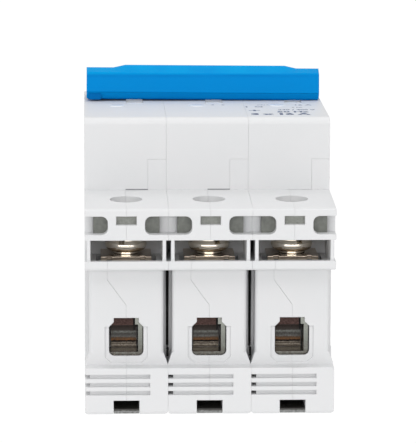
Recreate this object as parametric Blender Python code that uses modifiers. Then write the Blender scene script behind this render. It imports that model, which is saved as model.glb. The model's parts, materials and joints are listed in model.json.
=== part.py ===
"""Three-pole miniature circuit breaker for a 35 mm rail, in metres, +Z up.

X runs across the poles, -Y is the line end, +Y the load end, and Z starts at the foot of the
housings, which stand on the wall side of the rail. The toggles are modelled in the off position.
"""
import math

import bmesh
import bpy
from mathutils import Matrix

# Poles
POLE_COUNT = 3
POLE_PITCH = 0.0175
POLE_GAP = 0.00010
PARTING_GAP = 0.00005
CLEARANCE = 0.0003

# Side profile of a pole: lengths from the middle of the housing towards either end
LIP_REACH = 0.0425
LEDGE_SETBACK = 0.0006
BASE_SETBACK = 0.0027
PANEL_SETBACK = 0.0059
FRONT_REACH = 0.0225

# Side profile of a pole: heights, one on top of the other
BASE_HEIGHT = 0.0100
PANEL_HEIGHT = 0.0212
LEDGE_HEIGHT = 0.0020
WINDOW_HEIGHT = 0.0045
SHELF_HEIGHT = 0.00123
SLOT_HEIGHT = 0.00384
LIP_HEIGHT = 0.00153
SHOULDER_RISE = 0.0008
FRONT_HEIGHT = 0.0155
SHOULDER_BREAK = 0.0115
SHOULDER_BREAK_DROP = 0.0004

# Roundings of the side profile
BASE_RADIUS = 0.0008
BASE_SIDE_RADIUS = 0.0009
LEDGE_RADIUS = 0.0007
LIP_RADIUS = 0.0004
FRONT_RADIUS = 0.0015

# Walls
SIDE_WALL = 0.0013
END_WALL = 0.0014
PARTITION_WALL = 0.0014
TERMINAL_WALL = 0.0010
CHAMBER_LENGTH = 0.0070
CHAMBER_WIDTH = 0.0124

# Rail seat and clips
RAIL_WIDTH = 0.0350
RAIL_PLAY = 0.0004
RAIL_SEAT = 0.0042
SEAT_MARGIN = 0.0006
SEAT_RELIEF = 0.0003
CLIP_WIDTH = 0.0048
CLIP_FLANGE_WIDTH = 0.0084
CLIP_HEIGHT = 0.0025
CLIP_TAIL_HEIGHT = 0.0010
CLIP_NOSE = 0.0018
CLIP_FLANGE_LENGTH = 0.0110
CLIP_TRAVEL = 0.0022
CLIP_FLOOR = 0.0002

# Gaps between the poles, beside the terminals
PANEL_INSET = 0.00085
SIDE_GAP_DEPTH = 0.0054
DEEP_GAP_INSET = 0.00018
DEEP_GAP_DEPTH = 0.0120
COVER_INSET = 0.00004
SIDE_GAP_FLARE = 0.0027
PANEL_EDGE_RADIUS = 0.0009
PILLAR_INSET = 0.00045
PILLAR_WIDTH = 0.00076

# Cable window
CABLE_WIDTH = 0.00724
CABLE_NECK_WIDTH = 0.00524
CABLE_SILL = 0.0119
CABLE_HEIGHT = 0.0082
CABLE_NECK_HEIGHT = 0.0009
CABLE_SHOULDER = 0.0010
CABLE_RADIUS = 0.0011
FRAME_WIDTH = 0.0089
FRAME_HEIGHT = 0.0077
FRAME_DROP = 0.0014
FRAME_DEPTH = 0.0004
FRAME_CHAMFER = 0.0012

# Pockets above the screw window
POCKET_EDGE = 0.00387
POCKET_INNER = 0.00687
POCKET_SETBACK = 0.0035
POCKET_RADIUS = 0.0013
TAG_WINDOW_WIDTH = 0.0042
TAG_WINDOW_HEIGHT = 0.0018

# Vent grooves and clip mouth in the base
VENT_COUNT = 3
VENT_HEIGHT = 0.00082
VENT_PITCH = 0.00176
VENT_FIRST = 0.00421
VENT_END = 0.0137
VENT_DEPTH = 0.0009
VENT_SIDE_WIDTH = 0.00105
VENT_SIDE_DEPTH = 0.0060

# Parting line of the two halves
STEP_HEIGHT = 0.0066
STEP_PLACE = 0.00485
FLAP_PLACE = 0.0039
FLAP_STRAIGHT = 0.0029
FLAP_SLANT = 0.0054

# Terminals
ACCESS_DIAMETER = 0.0068
ACCESS_WALL = 0.0012
HEAD_DIAMETER = 0.0088
HEAD_HEIGHT = 0.0034
HEAD_LIFT = 0.00035
SHANK_DIAMETER = 0.0048
COLLAR_DIAMETER = 0.0054
SCREW_SIDES = 20
RECESS_LENGTH = 0.0054
RECESS_WIDTH = 0.0012
RECESS_DEPTH = 0.0013
SCREW_TURNS = (77.0, 114.0, 111.0)
PLATE_WIDTH = 0.0107
PLATE_LENGTH = 0.0094
PLATE_THICKNESS = 0.00085
PLATE_NOTCH = 0.0010
PLATE_NOTCH_PLACE = 0.0035
PLATE_WELL = 0.0010
CAGE_WALL = 0.0010
CAGE_TOP_WALL = 0.0018
CAGE_INNER_WIDTH = 0.0061
CAGE_INNER_HEIGHT = 0.0083
CAGE_LENGTH = 0.0064
CAGE_TRAVEL = 0.0054
CAGE_SHIFT = 0.00055
TAB_WIDTH = 0.00065
TAB_HEIGHT = 0.0025
TAB_THICKNESS = 0.0007
STRAP_THICKNESS = 0.0016
STRAP_LEFT = 0.0032
STRAP_RIGHT = 0.0015
STOP_RIGHT = 0.0022
STRAP_STOP = 0.0039

# Toggle: the pivot's place, the lever, and the bar's section in the off position
TOGGLE_REACH = 0.0018
TOGGLE_DEPTH = 0.0042
TOGGLE_SWING = 62.0
LEVER_PLACE = 0.0024
LEVER_WIDTH = 0.0033
LEVER_THICKNESS = 0.0022
LEVER_OFFSET = 0.0015
LEVER_LEAN = 38.0
LEVER_REACH = 0.0106
LEVER_HEAD = 0.0030
LEVER_GAP = 0.00018
DRUM_RADIUS = 0.0041
PIVOT_DIAMETER = 0.0026
BAR_LENGTH = 0.0514
BAR_NEAR = 0.0038
BAR_HEIGHT = 0.0073
BAR_DEPTH = 0.0104
BAR_RAISE = 0.0006
BAR_RAISE_LENGTH = 0.0353
BAR_RAISE_SHIFT = 0.0005
BAR_RAMP = 0.0026
BAR_SEAT = 0.0003
BAR_SKEW = 0.45
BAR_SOCKET = 0.0038
BAR_NOTCH_START = 0.00045
BAR_NOTCH_LENGTH = 0.0029
BAR_NOTCH_HEIGHT = 0.0015
BAR_NOTCH_DEPTH = 0.0007

# Rivets
RIVET_DIAMETER = 0.0030
RIVET_HEAD_DIAMETER = 0.0052
RIVET_HEAD_HEIGHT = 0.0006
RIVET_SINK = 0.0009
RIVET_BOSS = 0.0030
LOW_RIVET_INSET = 0.0088
LOW_RIVET_HEIGHT = 0.0072
TOP_RIVET_INSET = 0.0045
TOP_RIVET_DEPTH = 0.0042
FLOOR_RIVET_HEIGHT = 0.0086

# Mechanism inside a pole
ARM_PIVOT_REACH = 0.0060
ARM_PIVOT_HEIGHT = 0.0390
ARM_LENGTH = 0.0165
ARM_WIDTH = 0.0030
ARM_THICKNESS = 0.0026
ARM_TIP = 0.0018
ARM_HUB_DIAMETER = 0.0068
ARM_LEAN = 24.0
ARM_SWING = 12.0
CONTACT_DIAMETER = 0.0030
CONTACT_HEIGHT = 0.0008
CHUTE_NEAR = 0.0040
CHUTE_END_GAP = 0.0040
CHUTE_HEIGHT = 0.0150
CHUTE_WIDTH = 0.0116
CHUTE_FOOT = 0.0125
CHUTE_PLATES = 9
CHUTE_PLATE = 0.0008
CHUTE_CARD = 0.0006
COIL_NEAR = 0.0087
COIL_END_GAP = 0.0027
COIL_RADIUS = 0.0038
COIL_WIRE = 0.0013
COIL_PITCH = 0.0018
COIL_POINTS = 10
CORE_DIAMETER = 0.0056
YOKE_THICKNESS = 0.0012
YOKE_WIDTH = 0.0080
BIMETAL_THICKNESS = 0.0009
BIMETAL_LENGTH = 0.0170
BIMETAL_WIDTH = 0.0046

# Places worked out from the sizes above
BODY_HALF = (POLE_PITCH - POLE_GAP) / 2
INNER_HALF = BODY_HALF - SIDE_WALL
LEDGE_BOTTOM = BASE_HEIGHT + PANEL_HEIGHT
LEDGE_TOP = LEDGE_BOTTOM + LEDGE_HEIGHT
SHELF_BOTTOM = LEDGE_TOP + WINDOW_HEIGHT
SHELF_TOP = SHELF_BOTTOM + SHELF_HEIGHT
SLOT_TOP = SHELF_TOP + SLOT_HEIGHT
LIP_TOP = SLOT_TOP + LIP_HEIGHT
SHOULDER = LIP_TOP + SHOULDER_RISE
FRONT = SHOULDER + FRONT_HEIGHT
LEDGE_REACH = LIP_REACH - LEDGE_SETBACK
BASE_REACH = LIP_REACH - BASE_SETBACK
PANEL_REACH = LIP_REACH - PANEL_SETBACK
CHAMBER_END = PANEL_REACH - TERMINAL_WALL
CHAMBER_START = CHAMBER_END - CHAMBER_LENGTH
TERMINAL_REACH = (CHAMBER_START + CHAMBER_END) / 2
HEAD_ROOM_START = TERMINAL_REACH - HEAD_DIAMETER / 2 - CLEARANCE
CAVITY_REACH = HEAD_ROOM_START - PARTITION_WALL
CAVITY_FLOOR = RAIL_SEAT + END_WALL
CHANNEL_REACH = RAIL_WIDTH / 2 + RAIL_PLAY
SEAT_REACH = CHANNEL_REACH - CLIP_NOSE - SEAT_MARGIN
WINDOW_HALF = BODY_HALF - PILLAR_INSET - PILLAR_WIDTH
CLIP_MOUTH = CLIP_FLOOR + CLIP_HEIGHT + CLEARANCE
TOGGLE_HEIGHT = FRONT - TOGGLE_DEPTH
TOP_RIVET_HEIGHT = FRONT - TOP_RIVET_DEPTH
CAGE_FLOOR = CABLE_SILL - CLEARANCE
CAGE_SILL = CAGE_FLOOR + CAGE_WALL
STRAP_BOTTOM = CAGE_SILL + CAGE_TRAVEL + CLEARANCE
STRAP_TOP = STRAP_BOTTOM + STRAP_THICKNESS
LOW_RIVET_REACH = BASE_REACH - LOW_RIVET_INSET
TOP_RIVET_REACH = FRONT_REACH - TOP_RIVET_INSET
CHUTE_END = CAVITY_REACH - CHUTE_END_GAP
COIL_CHEEK = COIL_WIRE + CLEARANCE + YOKE_THICKNESS
COIL_ROOM = CAVITY_REACH - COIL_END_GAP - COIL_NEAR - 2 * COIL_CHEEK
COIL_TURNS = max(1, round(COIL_ROOM / COIL_PITCH))
COIL_REACH = COIL_NEAR + COIL_CHEEK + COIL_TURNS * COIL_PITCH / 2
PLATE_BOTTOM = LEDGE_TOP - PLATE_WELL + CLEARANCE
PLATE_TOP = PLATE_BOTTOM + PLATE_THICKNESS
HEAD_BOTTOM = PLATE_TOP + HEAD_LIFT
YOKE_DROP = COIL_RADIUS + COIL_WIRE / 2 + CLEARANCE + YOKE_THICKNESS
COIL_HEIGHT = STRAP_TOP + CLEARANCE + YOKE_DROP
LINE_END = -1
LOAD_END = 1
FAR = 0.02
ARC_STEPS = 4


def clear_scene():
    """Remove every object that the start-up file holds."""
    for item in list(bpy.data.objects):
        bpy.data.objects.remove(item, do_unlink=True)


def new_collection(name):
    """A collection for the finished parts."""
    group = bpy.data.collections.new(name)
    bpy.context.scene.collection.children.link(group)
    return group


def new_material(name, colour, roughness, metallic):
    """A Principled material with one colour."""
    material = bpy.data.materials.new(name)
    material.use_nodes = True
    shader = material.node_tree.nodes["Principled BSDF"]
    shader.inputs["Base Color"].default_value = (*colour, 1.0)
    shader.inputs["Roughness"].default_value = roughness
    shader.inputs["Metallic"].default_value = metallic
    return material


def scratch_object(name, mesh):
    """An object in the scene's own collection, for shapes that are still being cut."""
    item = bpy.data.objects.new(name, mesh)
    bpy.context.scene.collection.objects.link(item)
    return item


def mesh_from(name, bm):
    """Put a bmesh into a new mesh, with its faces pointing outwards."""
    bmesh.ops.recalc_face_normals(bm, faces=bm.faces[:])
    mesh = bpy.data.meshes.new(name)
    bm.to_mesh(mesh)
    bm.free()
    return mesh


def box(low, high):
    """A box between two corners."""
    bm = bmesh.new()
    bmesh.ops.create_cube(bm, size=1.0)
    size = [b - a for a, b in zip(low, high)]
    middle = [(a + b) / 2 for a, b in zip(low, high)]
    bmesh.ops.scale(bm, vec=size, verts=bm.verts[:])
    bmesh.ops.translate(bm, vec=middle, verts=bm.verts[:])
    return scratch_object("box", mesh_from("box", bm))


def facing(along):
    """The turn that takes local X, Y, Z to the plane of an outline and the axis it runs along."""
    turns = {
        "X": Matrix(((0, 0, 1), (1, 0, 0), (0, 1, 0))),
        "Y": Matrix(((1, 0, 0), (0, 0, -1), (0, 1, 0))),
        "Z": Matrix.Identity(3),
    }
    return turns[along].to_4x4()


def along_offset(along, distance):
    """A move along one axis."""
    steps = {"X": (distance, 0, 0), "Y": (0, distance, 0), "Z": (0, 0, distance)}
    return Matrix.Translation(steps[along])


def cylinder(along, centre, radius, low, high, segments=24, end_radius=None):
    """A round bar along an axis; centre is given in the plane across that axis."""
    bm = bmesh.new()
    bmesh.ops.create_cone(bm, cap_ends=True, segments=segments, radius1=radius,
                          radius2=radius if end_radius is None else end_radius, depth=high - low)
    bmesh.ops.translate(bm, vec=(centre[0], centre[1], 0), verts=bm.verts[:])
    turn = along_offset(along, (low + high) / 2) @ facing(along)
    bmesh.ops.transform(bm, matrix=turn, verts=bm.verts[:])
    return scratch_object("cylinder", mesh_from("cylinder", bm))


def rounded(corners):
    """Points of an outline whose corners are given as (a, b, radius)."""
    points = []
    count = len(corners)
    for index, (a, b, radius) in enumerate(corners):
        if radius <= 0:
            points.append((a, b))
            continue
        before = corners[index - 1]
        after = corners[(index + 1) % count]
        points.extend(corner_arc((before[0], before[1]), (a, b), (after[0], after[1]), radius))
    return points


def corner_arc(before, corner, after, radius):
    """Points of the arc that rounds one corner, limited to half of its shorter side."""
    to_before = (before[0] - corner[0], before[1] - corner[1])
    to_after = (after[0] - corner[0], after[1] - corner[1])
    length_before = math.hypot(*to_before)
    length_after = math.hypot(*to_after)
    unit_before = (to_before[0] / length_before, to_before[1] / length_before)
    unit_after = (to_after[0] / length_after, to_after[1] / length_after)
    cosine = unit_before[0] * unit_after[0] + unit_before[1] * unit_after[1]
    half = math.acos(max(-1.0, min(1.0, cosine))) / 2
    reach = min(radius / math.tan(half), 0.49 * length_before, 0.49 * length_after)
    start = (corner[0] + unit_before[0] * reach, corner[1] + unit_before[1] * reach)
    end = (corner[0] + unit_after[0] * reach, corner[1] + unit_after[1] * reach)
    points = []
    for step in range(ARC_STEPS + 1):
        t = step / ARC_STEPS
        first = (1 - t) ** 2
        middle = 2 * t * (1 - t) * math.sin(half)
        last = t ** 2
        total = first + middle + last
        points.append(((first * start[0] + middle * corner[0] + last * end[0]) / total,
                       (first * start[1] + middle * corner[1] + last * end[1]) / total))
    return points


def loft(sections):
    """A closed solid through equal outlines, each a list of points in space."""
    bm = bmesh.new()
    rings = [[bm.verts.new(point) for point in points] for points in sections]
    for first, second in zip(rings, rings[1:]):
        count = len(first)
        for index in range(count):
            after = (index + 1) % count
            bm.faces.new((first[index], first[after], second[after], second[index]))
    bm.faces.new(rings[0])
    bm.faces.new(list(reversed(rings[-1])))
    return scratch_object("loft", mesh_from("loft", bm))


def prism(along, outline, low, high):
    """A flat outline drawn out along an axis from low to high."""
    item = loft([[(a, b, level) for a, b in outline] for level in (low, high)])
    item.data.transform(facing(along))
    return item


def bake(item):
    """Replace an object's mesh by its evaluated one, and drop its modifiers."""
    bpy.context.view_layer.update()
    depsgraph = bpy.context.evaluated_depsgraph_get()
    mesh = bpy.data.meshes.new_from_object(item.evaluated_get(depsgraph))
    item.modifiers.clear()
    item.data = mesh
    return item


def combine(target, tool, operation):
    """One exact Boolean, applied, with its tool removed."""
    modifier = target.modifiers.new(operation.lower(), "BOOLEAN")
    modifier.operation = operation
    modifier.solver = "EXACT"
    modifier.object = tool
    bake(target)
    bpy.data.objects.remove(tool, do_unlink=True)
    return target


def cut(target, *tools):
    """Take each tool away from the target."""
    for tool in tools:
        combine(target, tool, "DIFFERENCE")
    return target


def join(target, *tools):
    """Unite the target with each tool."""
    for tool in tools:
        combine(target, tool, "UNION")
    return target


def tidy(item):
    """Merge doubles and dissolve the flat splits that Booleans leave."""
    bm = bmesh.new()
    bm.from_mesh(item.data)
    bmesh.ops.remove_doubles(bm, verts=bm.verts[:], dist=2e-6)
    bmesh.ops.dissolve_limit(bm, angle_limit=math.radians(0.2), verts=bm.verts[:], edges=bm.edges[:])
    bm.to_mesh(item.data)
    bm.free()
    return item


def take_mesh(item, name):
    """Keep a finished shape's mesh, and remove the object that carried it."""
    mesh = item.data
    mesh.name = name
    mesh.materials.clear()
    bpy.data.objects.remove(item, do_unlink=True)
    return mesh


def turned(profile, segments=24):
    """A turned shape about Z: a profile of (radius, height) points from top to bottom."""
    bm = bmesh.new()
    verts = [bm.verts.new((radius, 0, height)) for radius, height in profile]
    for first, second in zip(verts, verts[1:]):
        bm.edges.new((first, second))
    mesh = bpy.data.meshes.new("profile")
    bm.to_mesh(mesh)
    bm.free()
    item = scratch_object("turned", mesh)
    screw = item.modifiers.new("turn", "SCREW")
    screw.steps = segments
    screw.render_steps = segments
    screw.use_merge_vertices = True
    screw.merge_threshold = 1e-6
    bake(item)
    bm = bmesh.new()
    bm.from_mesh(item.data)
    bmesh.ops.remove_doubles(bm, verts=bm.verts[:], dist=1e-7)
    bmesh.ops.recalc_face_normals(bm, faces=bm.faces[:])
    bm.to_mesh(item.data)
    bm.free()
    return item


def place(group, name, mesh, material, location=(0, 0, 0), end=LINE_END, turn=0.0):
    """Put one finished piece into the model; the load end's pieces are turned half round."""
    item = bpy.data.objects.new(name, mesh)
    item.location = location
    half_round = math.pi if end == LOAD_END else 0.0
    item.rotation_euler = (0, 0, half_round + math.radians(turn))
    if not mesh.materials:
        mesh.materials.append(material)
    group.objects.link(item)
    return item


def pole_centre(pole):
    """X of a pole's middle, for poles 1 to POLE_COUNT from the left."""
    return (pole - (POLE_COUNT + 1) / 2) * POLE_PITCH


def ends():
    """Both ends of a housing, as signs of Y."""
    return (LINE_END, LOAD_END)


def span(end, near, far):
    """A stretch of Y at one end, lowest first, from its distances to the middle."""
    return (min(end * near, end * far), max(end * near, end * far))


def across(end, left, right):
    """A stretch of X at one end, lowest first, from its reach to the left and right seen from there."""
    return (-left, right) if end == LINE_END else (-right, left)


def pole_outline():
    """Side outline of a pole: the load half, and the same half mirrored for the line end."""
    half = [
        (SEAT_REACH, RAIL_SEAT, 0),
        (SEAT_REACH, RAIL_SEAT + SEAT_RELIEF, 0),
        (CHANNEL_REACH, RAIL_SEAT + SEAT_RELIEF, 0),
        (CHANNEL_REACH, 0, 0),
        (BASE_REACH, 0, BASE_RADIUS),
        (BASE_REACH, BASE_HEIGHT, 0),
        (PANEL_REACH, BASE_HEIGHT, 0),
        (PANEL_REACH, LEDGE_BOTTOM, 0),
        (LEDGE_REACH, LEDGE_BOTTOM, LEDGE_RADIUS),
        (LEDGE_REACH, LEDGE_TOP, LEDGE_RADIUS / 2),
        (LIP_REACH, LEDGE_TOP + LEDGE_SETBACK, 0),
        (LIP_REACH, LIP_TOP, LIP_RADIUS),
        (FRONT_REACH + SHOULDER_BREAK, SHOULDER - SHOULDER_BREAK_DROP, 0),
        (FRONT_REACH, SHOULDER, 0),
        (FRONT_REACH, FRONT, FRONT_RADIUS),
    ]
    mirrored = [(-a, b, radius) for a, b, radius in reversed(half)]
    return rounded(half + mirrored)


def cavity_outline():
    """Side outline of the mechanism's space inside a pole."""
    shoulder_top = SHOULDER - END_WALL
    side = [
        (CHANNEL_REACH - END_WALL, CAVITY_FLOOR, 0),
        (CHANNEL_REACH - END_WALL, BASE_HEIGHT, 0),
        (CAVITY_REACH, BASE_HEIGHT, 0),
        (CAVITY_REACH, shoulder_top, 0),
        (FRONT_REACH - END_WALL, shoulder_top, 0),
        (FRONT_REACH - END_WALL, FRONT - END_WALL, 0),
    ]
    mirrored = [(-a, b, radius) for a, b, radius in reversed(side)]
    return rounded(side + mirrored)


def rivet_places():
    """(Y, Z) of each rivet."""
    return [
        (-LOW_RIVET_REACH, LOW_RIVET_HEIGHT),
        (LOW_RIVET_REACH, LOW_RIVET_HEIGHT),
        (-TOP_RIVET_REACH, TOP_RIVET_HEIGHT),
        (TOP_RIVET_REACH, TOP_RIVET_HEIGHT),
        (0.0, FLOOR_RIVET_HEIGHT),
    ]


def cut_terminal_chamber(body, end):
    """The space for the cage and the screw, the open screw window and the room above the shelf."""
    start, stop = span(end, CHAMBER_START, CHAMBER_END)
    half = CHAMBER_WIDTH / 2
    cut(body, box((-half, start, CABLE_SILL - 2 * CLEARANCE), (half, stop, SHELF_BOTTOM)))
    start, stop = span(end, HEAD_ROOM_START, LIP_REACH + FAR)
    cut(body, box((-WINDOW_HALF, start, LEDGE_TOP), (WINDOW_HALF, stop, SHELF_BOTTOM)))
    start, stop = span(end, HEAD_ROOM_START, LEDGE_REACH - END_WALL)
    cut(body, box((-WINDOW_HALF, start, LEDGE_TOP - PLATE_WELL), (WINDOW_HALF, stop, SHELF_BOTTOM)))
    start, stop = span(end, CHAMBER_START, LIP_REACH - POCKET_SETBACK - END_WALL)
    ceiling = SHOULDER - END_WALL - SHOULDER_RISE
    room = box((-INNER_HALF, start, SHELF_TOP), (INNER_HALF, stop, ceiling))
    tube = cylinder("Z", (0, end * TERMINAL_REACH), ACCESS_DIAMETER / 2 + ACCESS_WALL,
                    SHELF_BOTTOM, SHOULDER)
    cut(room, tube)
    cut(body, room)
    cut(body, cylinder("Z", (0, end * TERMINAL_REACH), ACCESS_DIAMETER / 2,
                       SHELF_BOTTOM - CLEARANCE, FRONT))


def cut_cable_window(body, end):
    """The cable window with its narrow neck, and the shallow frame round its lower part."""
    top = CABLE_SILL + CABLE_HEIGHT
    half = CABLE_WIDTH / 2
    neck = CABLE_NECK_WIDTH / 2
    shoulder_top = top - CABLE_NECK_HEIGHT
    shoulder_foot = shoulder_top - CABLE_SHOULDER
    outline = rounded([
        (-half, CABLE_SILL, CABLE_RADIUS), (half, CABLE_SILL, CABLE_RADIUS),
        (half, shoulder_foot, 0), (neck, shoulder_top, 0), (neck, top, 0),
        (-neck, top, 0), (-neck, shoulder_top, 0), (-half, shoulder_foot, 0),
    ])
    start, stop = span(end, CHAMBER_END - TERMINAL_WALL, PANEL_REACH + FAR)
    cut(body, prism("Y", outline, start, stop))
    low = CABLE_SILL - FRAME_DROP
    side = FRAME_WIDTH / 2
    frame = [
        (-side + FRAME_CHAMFER, low), (side - FRAME_CHAMFER, low), (side, low + FRAME_CHAMFER),
        (side, low + FRAME_HEIGHT), (-side, low + FRAME_HEIGHT), (-side, low + FRAME_CHAMFER),
    ]
    start, stop = span(end, PANEL_REACH - FRAME_DEPTH, LIP_REACH)
    cut(body, prism("Y", frame, start, stop))


def pocket_outline(side, inner, outer):
    """A pocket whose inner end is rounded; side is the sign of X."""
    corners = [
        (side * inner, SHELF_TOP, POCKET_RADIUS), (side * outer, SHELF_TOP, 0),
        (side * outer, SLOT_TOP, 0), (side * inner, SLOT_TOP, POCKET_RADIUS),
    ]
    return rounded(corners)


def cut_pockets(body, end):
    """The rounded pockets beside the seams, and the tag window between them."""
    for side in (-1, 1):
        start, stop = span(end, LIP_REACH - POCKET_SETBACK, LIP_REACH + FAR)
        cut(body, prism("Y", pocket_outline(side, POCKET_EDGE, BODY_HALF + FAR), start, stop))
        start, stop = span(end, LIP_REACH - POCKET_SETBACK - END_WALL - CLEARANCE, LIP_REACH + FAR)
        cut(body, prism("Y", pocket_outline(side, POCKET_EDGE, POCKET_INNER), start, stop))
    start, stop = span(end, LIP_REACH - 2 * END_WALL, LIP_REACH + FAR)
    half = TAG_WINDOW_WIDTH / 2
    cut(body, box((-half, start, SLOT_TOP - TAG_WINDOW_HEIGHT), (half, stop, SLOT_TOP)))


def side_box(side, wall, stretch, low, high):
    """A box from a side wall outwards, over a stretch of Y and a stretch of Z."""
    far = side * (wall + FAR)
    near = side * wall
    return box((min(near, far), stretch[0], low), (max(near, far), stretch[1], high))


def cut_side_gaps(body, end):
    """The air gaps beside the terminal panel, with rounded panel edges, and beside the screw window."""
    flare_top = BASE_HEIGHT + SIDE_GAP_FLARE
    wall = BODY_HALF - PANEL_INSET
    edge = end * PANEL_REACH
    for side in (-1, 1):
        slab = [
            (side * wall, LEDGE_BOTTOM), (side * wall, flare_top),
            (side * (BODY_HALF + PARTING_GAP), BASE_HEIGHT),
            (side * (BODY_HALF + FAR), BASE_HEIGHT), (side * (BODY_HALF + FAR), LEDGE_BOTTOM),
        ]
        start, stop = span(end, PANEL_REACH - SIDE_GAP_DEPTH, PANEL_REACH + FAR)
        cut(body, prism("Y", slab, start, stop))
        arc = corner_arc((side * (wall - 2 * PANEL_EDGE_RADIUS), edge), (side * wall, edge),
                         (side * wall, edge - end * 2 * PANEL_EDGE_RADIUS), PANEL_EDGE_RADIUS)
        outside = [
            (side * (wall + FAR), edge - end * PANEL_EDGE_RADIUS), (side * (wall + FAR), edge + end * FAR),
            (side * (wall - PANEL_EDGE_RADIUS), edge + end * FAR),
        ]
        cut(body, prism("Z", arc + outside, flare_top, LEDGE_BOTTOM))
        deep = span(end, PANEL_REACH - DEEP_GAP_DEPTH, PANEL_REACH)
        cut(body, side_box(side, BODY_HALF - DEEP_GAP_INSET, deep, flare_top, LEDGE_BOTTOM))
        beside_window = span(end, CHAMBER_START, LIP_REACH + FAR)
        cut(body, side_box(side, BODY_HALF - PILLAR_INSET, beside_window, LEDGE_TOP, SHELF_BOTTOM))


def cut_base_end(body, end):
    """The vent grooves, deeper at the pole's left side, and the T-shaped way of the rail clip."""
    left = -POLE_PITCH / 2
    for index in range(VENT_COUNT):
        low = VENT_FIRST + index * VENT_PITCH
        start, stop = span(end, BASE_REACH - VENT_DEPTH, BASE_REACH + FAR)
        cut(body, box((left - FAR, start, low), (left + VENT_END, stop, low + VENT_HEIGHT)))
        start, stop = span(end, BASE_REACH - VENT_SIDE_DEPTH, BASE_REACH + FAR)
        cut(body, box((left - FAR, start, low), (left + VENT_SIDE_WIDTH, stop, low + VENT_HEIGHT)))
    half = CLIP_WIDTH / 2 + CLEARANCE
    start, stop = span(end, CHANNEL_REACH - FAR, BASE_REACH + FAR)
    cut(body, box((-half, start, -FAR), (half, stop, CLIP_MOUTH)))
    half = CLIP_FLANGE_WIDTH / 2 + CLEARANCE
    flange_end = CHANNEL_REACH + CLIP_FLANGE_LENGTH + CLIP_TRAVEL + CLEARANCE
    start, stop = span(end, CHANNEL_REACH - FAR, flange_end)
    flange_floor = CLIP_FLOOR + CLIP_TAIL_HEIGHT
    cut(body, box((-half, start, flange_floor), (half, stop, CLIP_MOUTH)))


def cut_strap_way(body, end):
    """The opening in the partition that the strap passes through."""
    start, stop = span(end, CAVITY_REACH - PARTITION_WALL, CHAMBER_START + PARTITION_WALL)
    low, high = across(end, STRAP_LEFT + CLEARANCE, STRAP_RIGHT + CLEARANCE)
    cut(body, box((low, start, STRAP_BOTTOM - CLEARANCE), (high, stop, STRAP_TOP + CLEARANCE)))


def cut_base_edges(body):
    """Round the two lower edges that run along the pole."""
    reach = LIP_REACH + FAR
    for side in (-1, 1):
        wall = side * BODY_HALF
        arc = corner_arc((wall, 2 * BASE_SIDE_RADIUS), (wall, 0), (wall - side * 2 * BASE_SIDE_RADIUS, 0),
                         BASE_SIDE_RADIUS)
        outside = [(wall - side * BASE_SIDE_RADIUS, -FAR), (wall + side * FAR, -FAR),
                   (wall + side * FAR, BASE_SIDE_RADIUS)]
        cut(body, prism("Y", arc + outside, -reach, reach))


def lever_slot():
    """The slot in the front face that the lever swings in."""
    rise = TOGGLE_DEPTH - END_WALL
    near = TOGGLE_REACH - math.sqrt(DRUM_RADIUS ** 2 - rise ** 2) - CLEARANCE
    lean = math.radians(LEVER_LEAN)
    far = TOGGLE_REACH + TOGGLE_DEPTH * math.tan(lean) + (LEVER_OFFSET + BAR_SOCKET / 2) / math.cos(lean)
    half = LEVER_WIDTH / 2 + LEVER_GAP
    return box((LEVER_PLACE - half, near, TOGGLE_HEIGHT), (LEVER_PLACE + half, far, FRONT + FAR))


def pole_body():
    """The whole moulding of one pole, before it is parted into its two halves."""
    body = prism("X", pole_outline(), -BODY_HALF, BODY_HALF)
    cut(body, prism("X", cavity_outline(), -INNER_HALF, INNER_HALF))
    rooted = INNER_HALF + SIDE_WALL / 2
    for y, z in rivet_places():
        join(body, cylinder("X", (y, z), RIVET_BOSS, -rooted, rooted, 16))
    for y, z in ((TOGGLE_REACH, TOGGLE_HEIGHT), (ARM_PIVOT_REACH, ARM_PIVOT_HEIGHT)):
        join(body, cylinder("X", (y, z), PIVOT_DIAMETER / 2, -rooted, rooted, 16))
    for y, z in rivet_places():
        cut(body, cylinder("X", (y, z), RIVET_DIAMETER / 2 + CLEARANCE, -FAR, FAR, 16))
        sink = BODY_HALF - RIVET_SINK
        cut(body, cylinder("X", (y, z), RIVET_HEAD_DIAMETER / 2 + CLEARANCE, sink, FAR, 16))
        cut(body, cylinder("X", (y, z), RIVET_HEAD_DIAMETER / 2 + CLEARANCE, -FAR, -sink, 16))
    for end in ends():
        cut_terminal_chamber(body, end)
        cut_cable_window(body, end)
        cut_pockets(body, end)
        cut_side_gaps(body, end)
        cut_base_end(body, end)
        cut_strap_way(body, end)
    cut_base_edges(body)
    cut(body, lever_slot())
    return body


def cover_region(grow):
    """The space that belongs to the cover: right of the stepped parting line, grown by a gap."""
    right = BODY_HALF - COVER_INSET + (BODY_HALF if grow else 0)
    reach = LIP_REACH + FAR
    region = box((-grow, -reach, -FAR), (right, reach, SHOULDER + grow))
    step_top = SHOULDER + STEP_HEIGHT + grow
    join(region, box((STEP_PLACE - grow, -reach, SHOULDER - FAR / 4), (right, reach, step_top)))
    for end in ends():
        slant_top = LEDGE_BOTTOM - FLAP_STRAIGHT - grow
        slant_foot = slant_top - FLAP_SLANT
        left = -FLAP_PLACE - grow
        flap = [
            (left, LEDGE_TOP + CLEARANCE), (left, slant_top), (-grow, slant_foot),
            (FLAP_PLACE, slant_foot), (FLAP_PLACE, LEDGE_TOP + CLEARANCE),
        ]
        start, stop = span(end, CHAMBER_END - CLEARANCE - grow, reach - FAR / 4)
        join(region, prism("Y", flap, start, stop))
    return region


def housing_halves():
    """Meshes of a pole's case and cover."""
    case = pole_body()
    cover = scratch_object("cover", case.data.copy())
    cut(case, cover_region(PARTING_GAP))
    combine(cover, cover_region(0.0), "INTERSECT")
    return take_mesh(tidy(case), "case"), take_mesh(tidy(cover), "cover")


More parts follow.
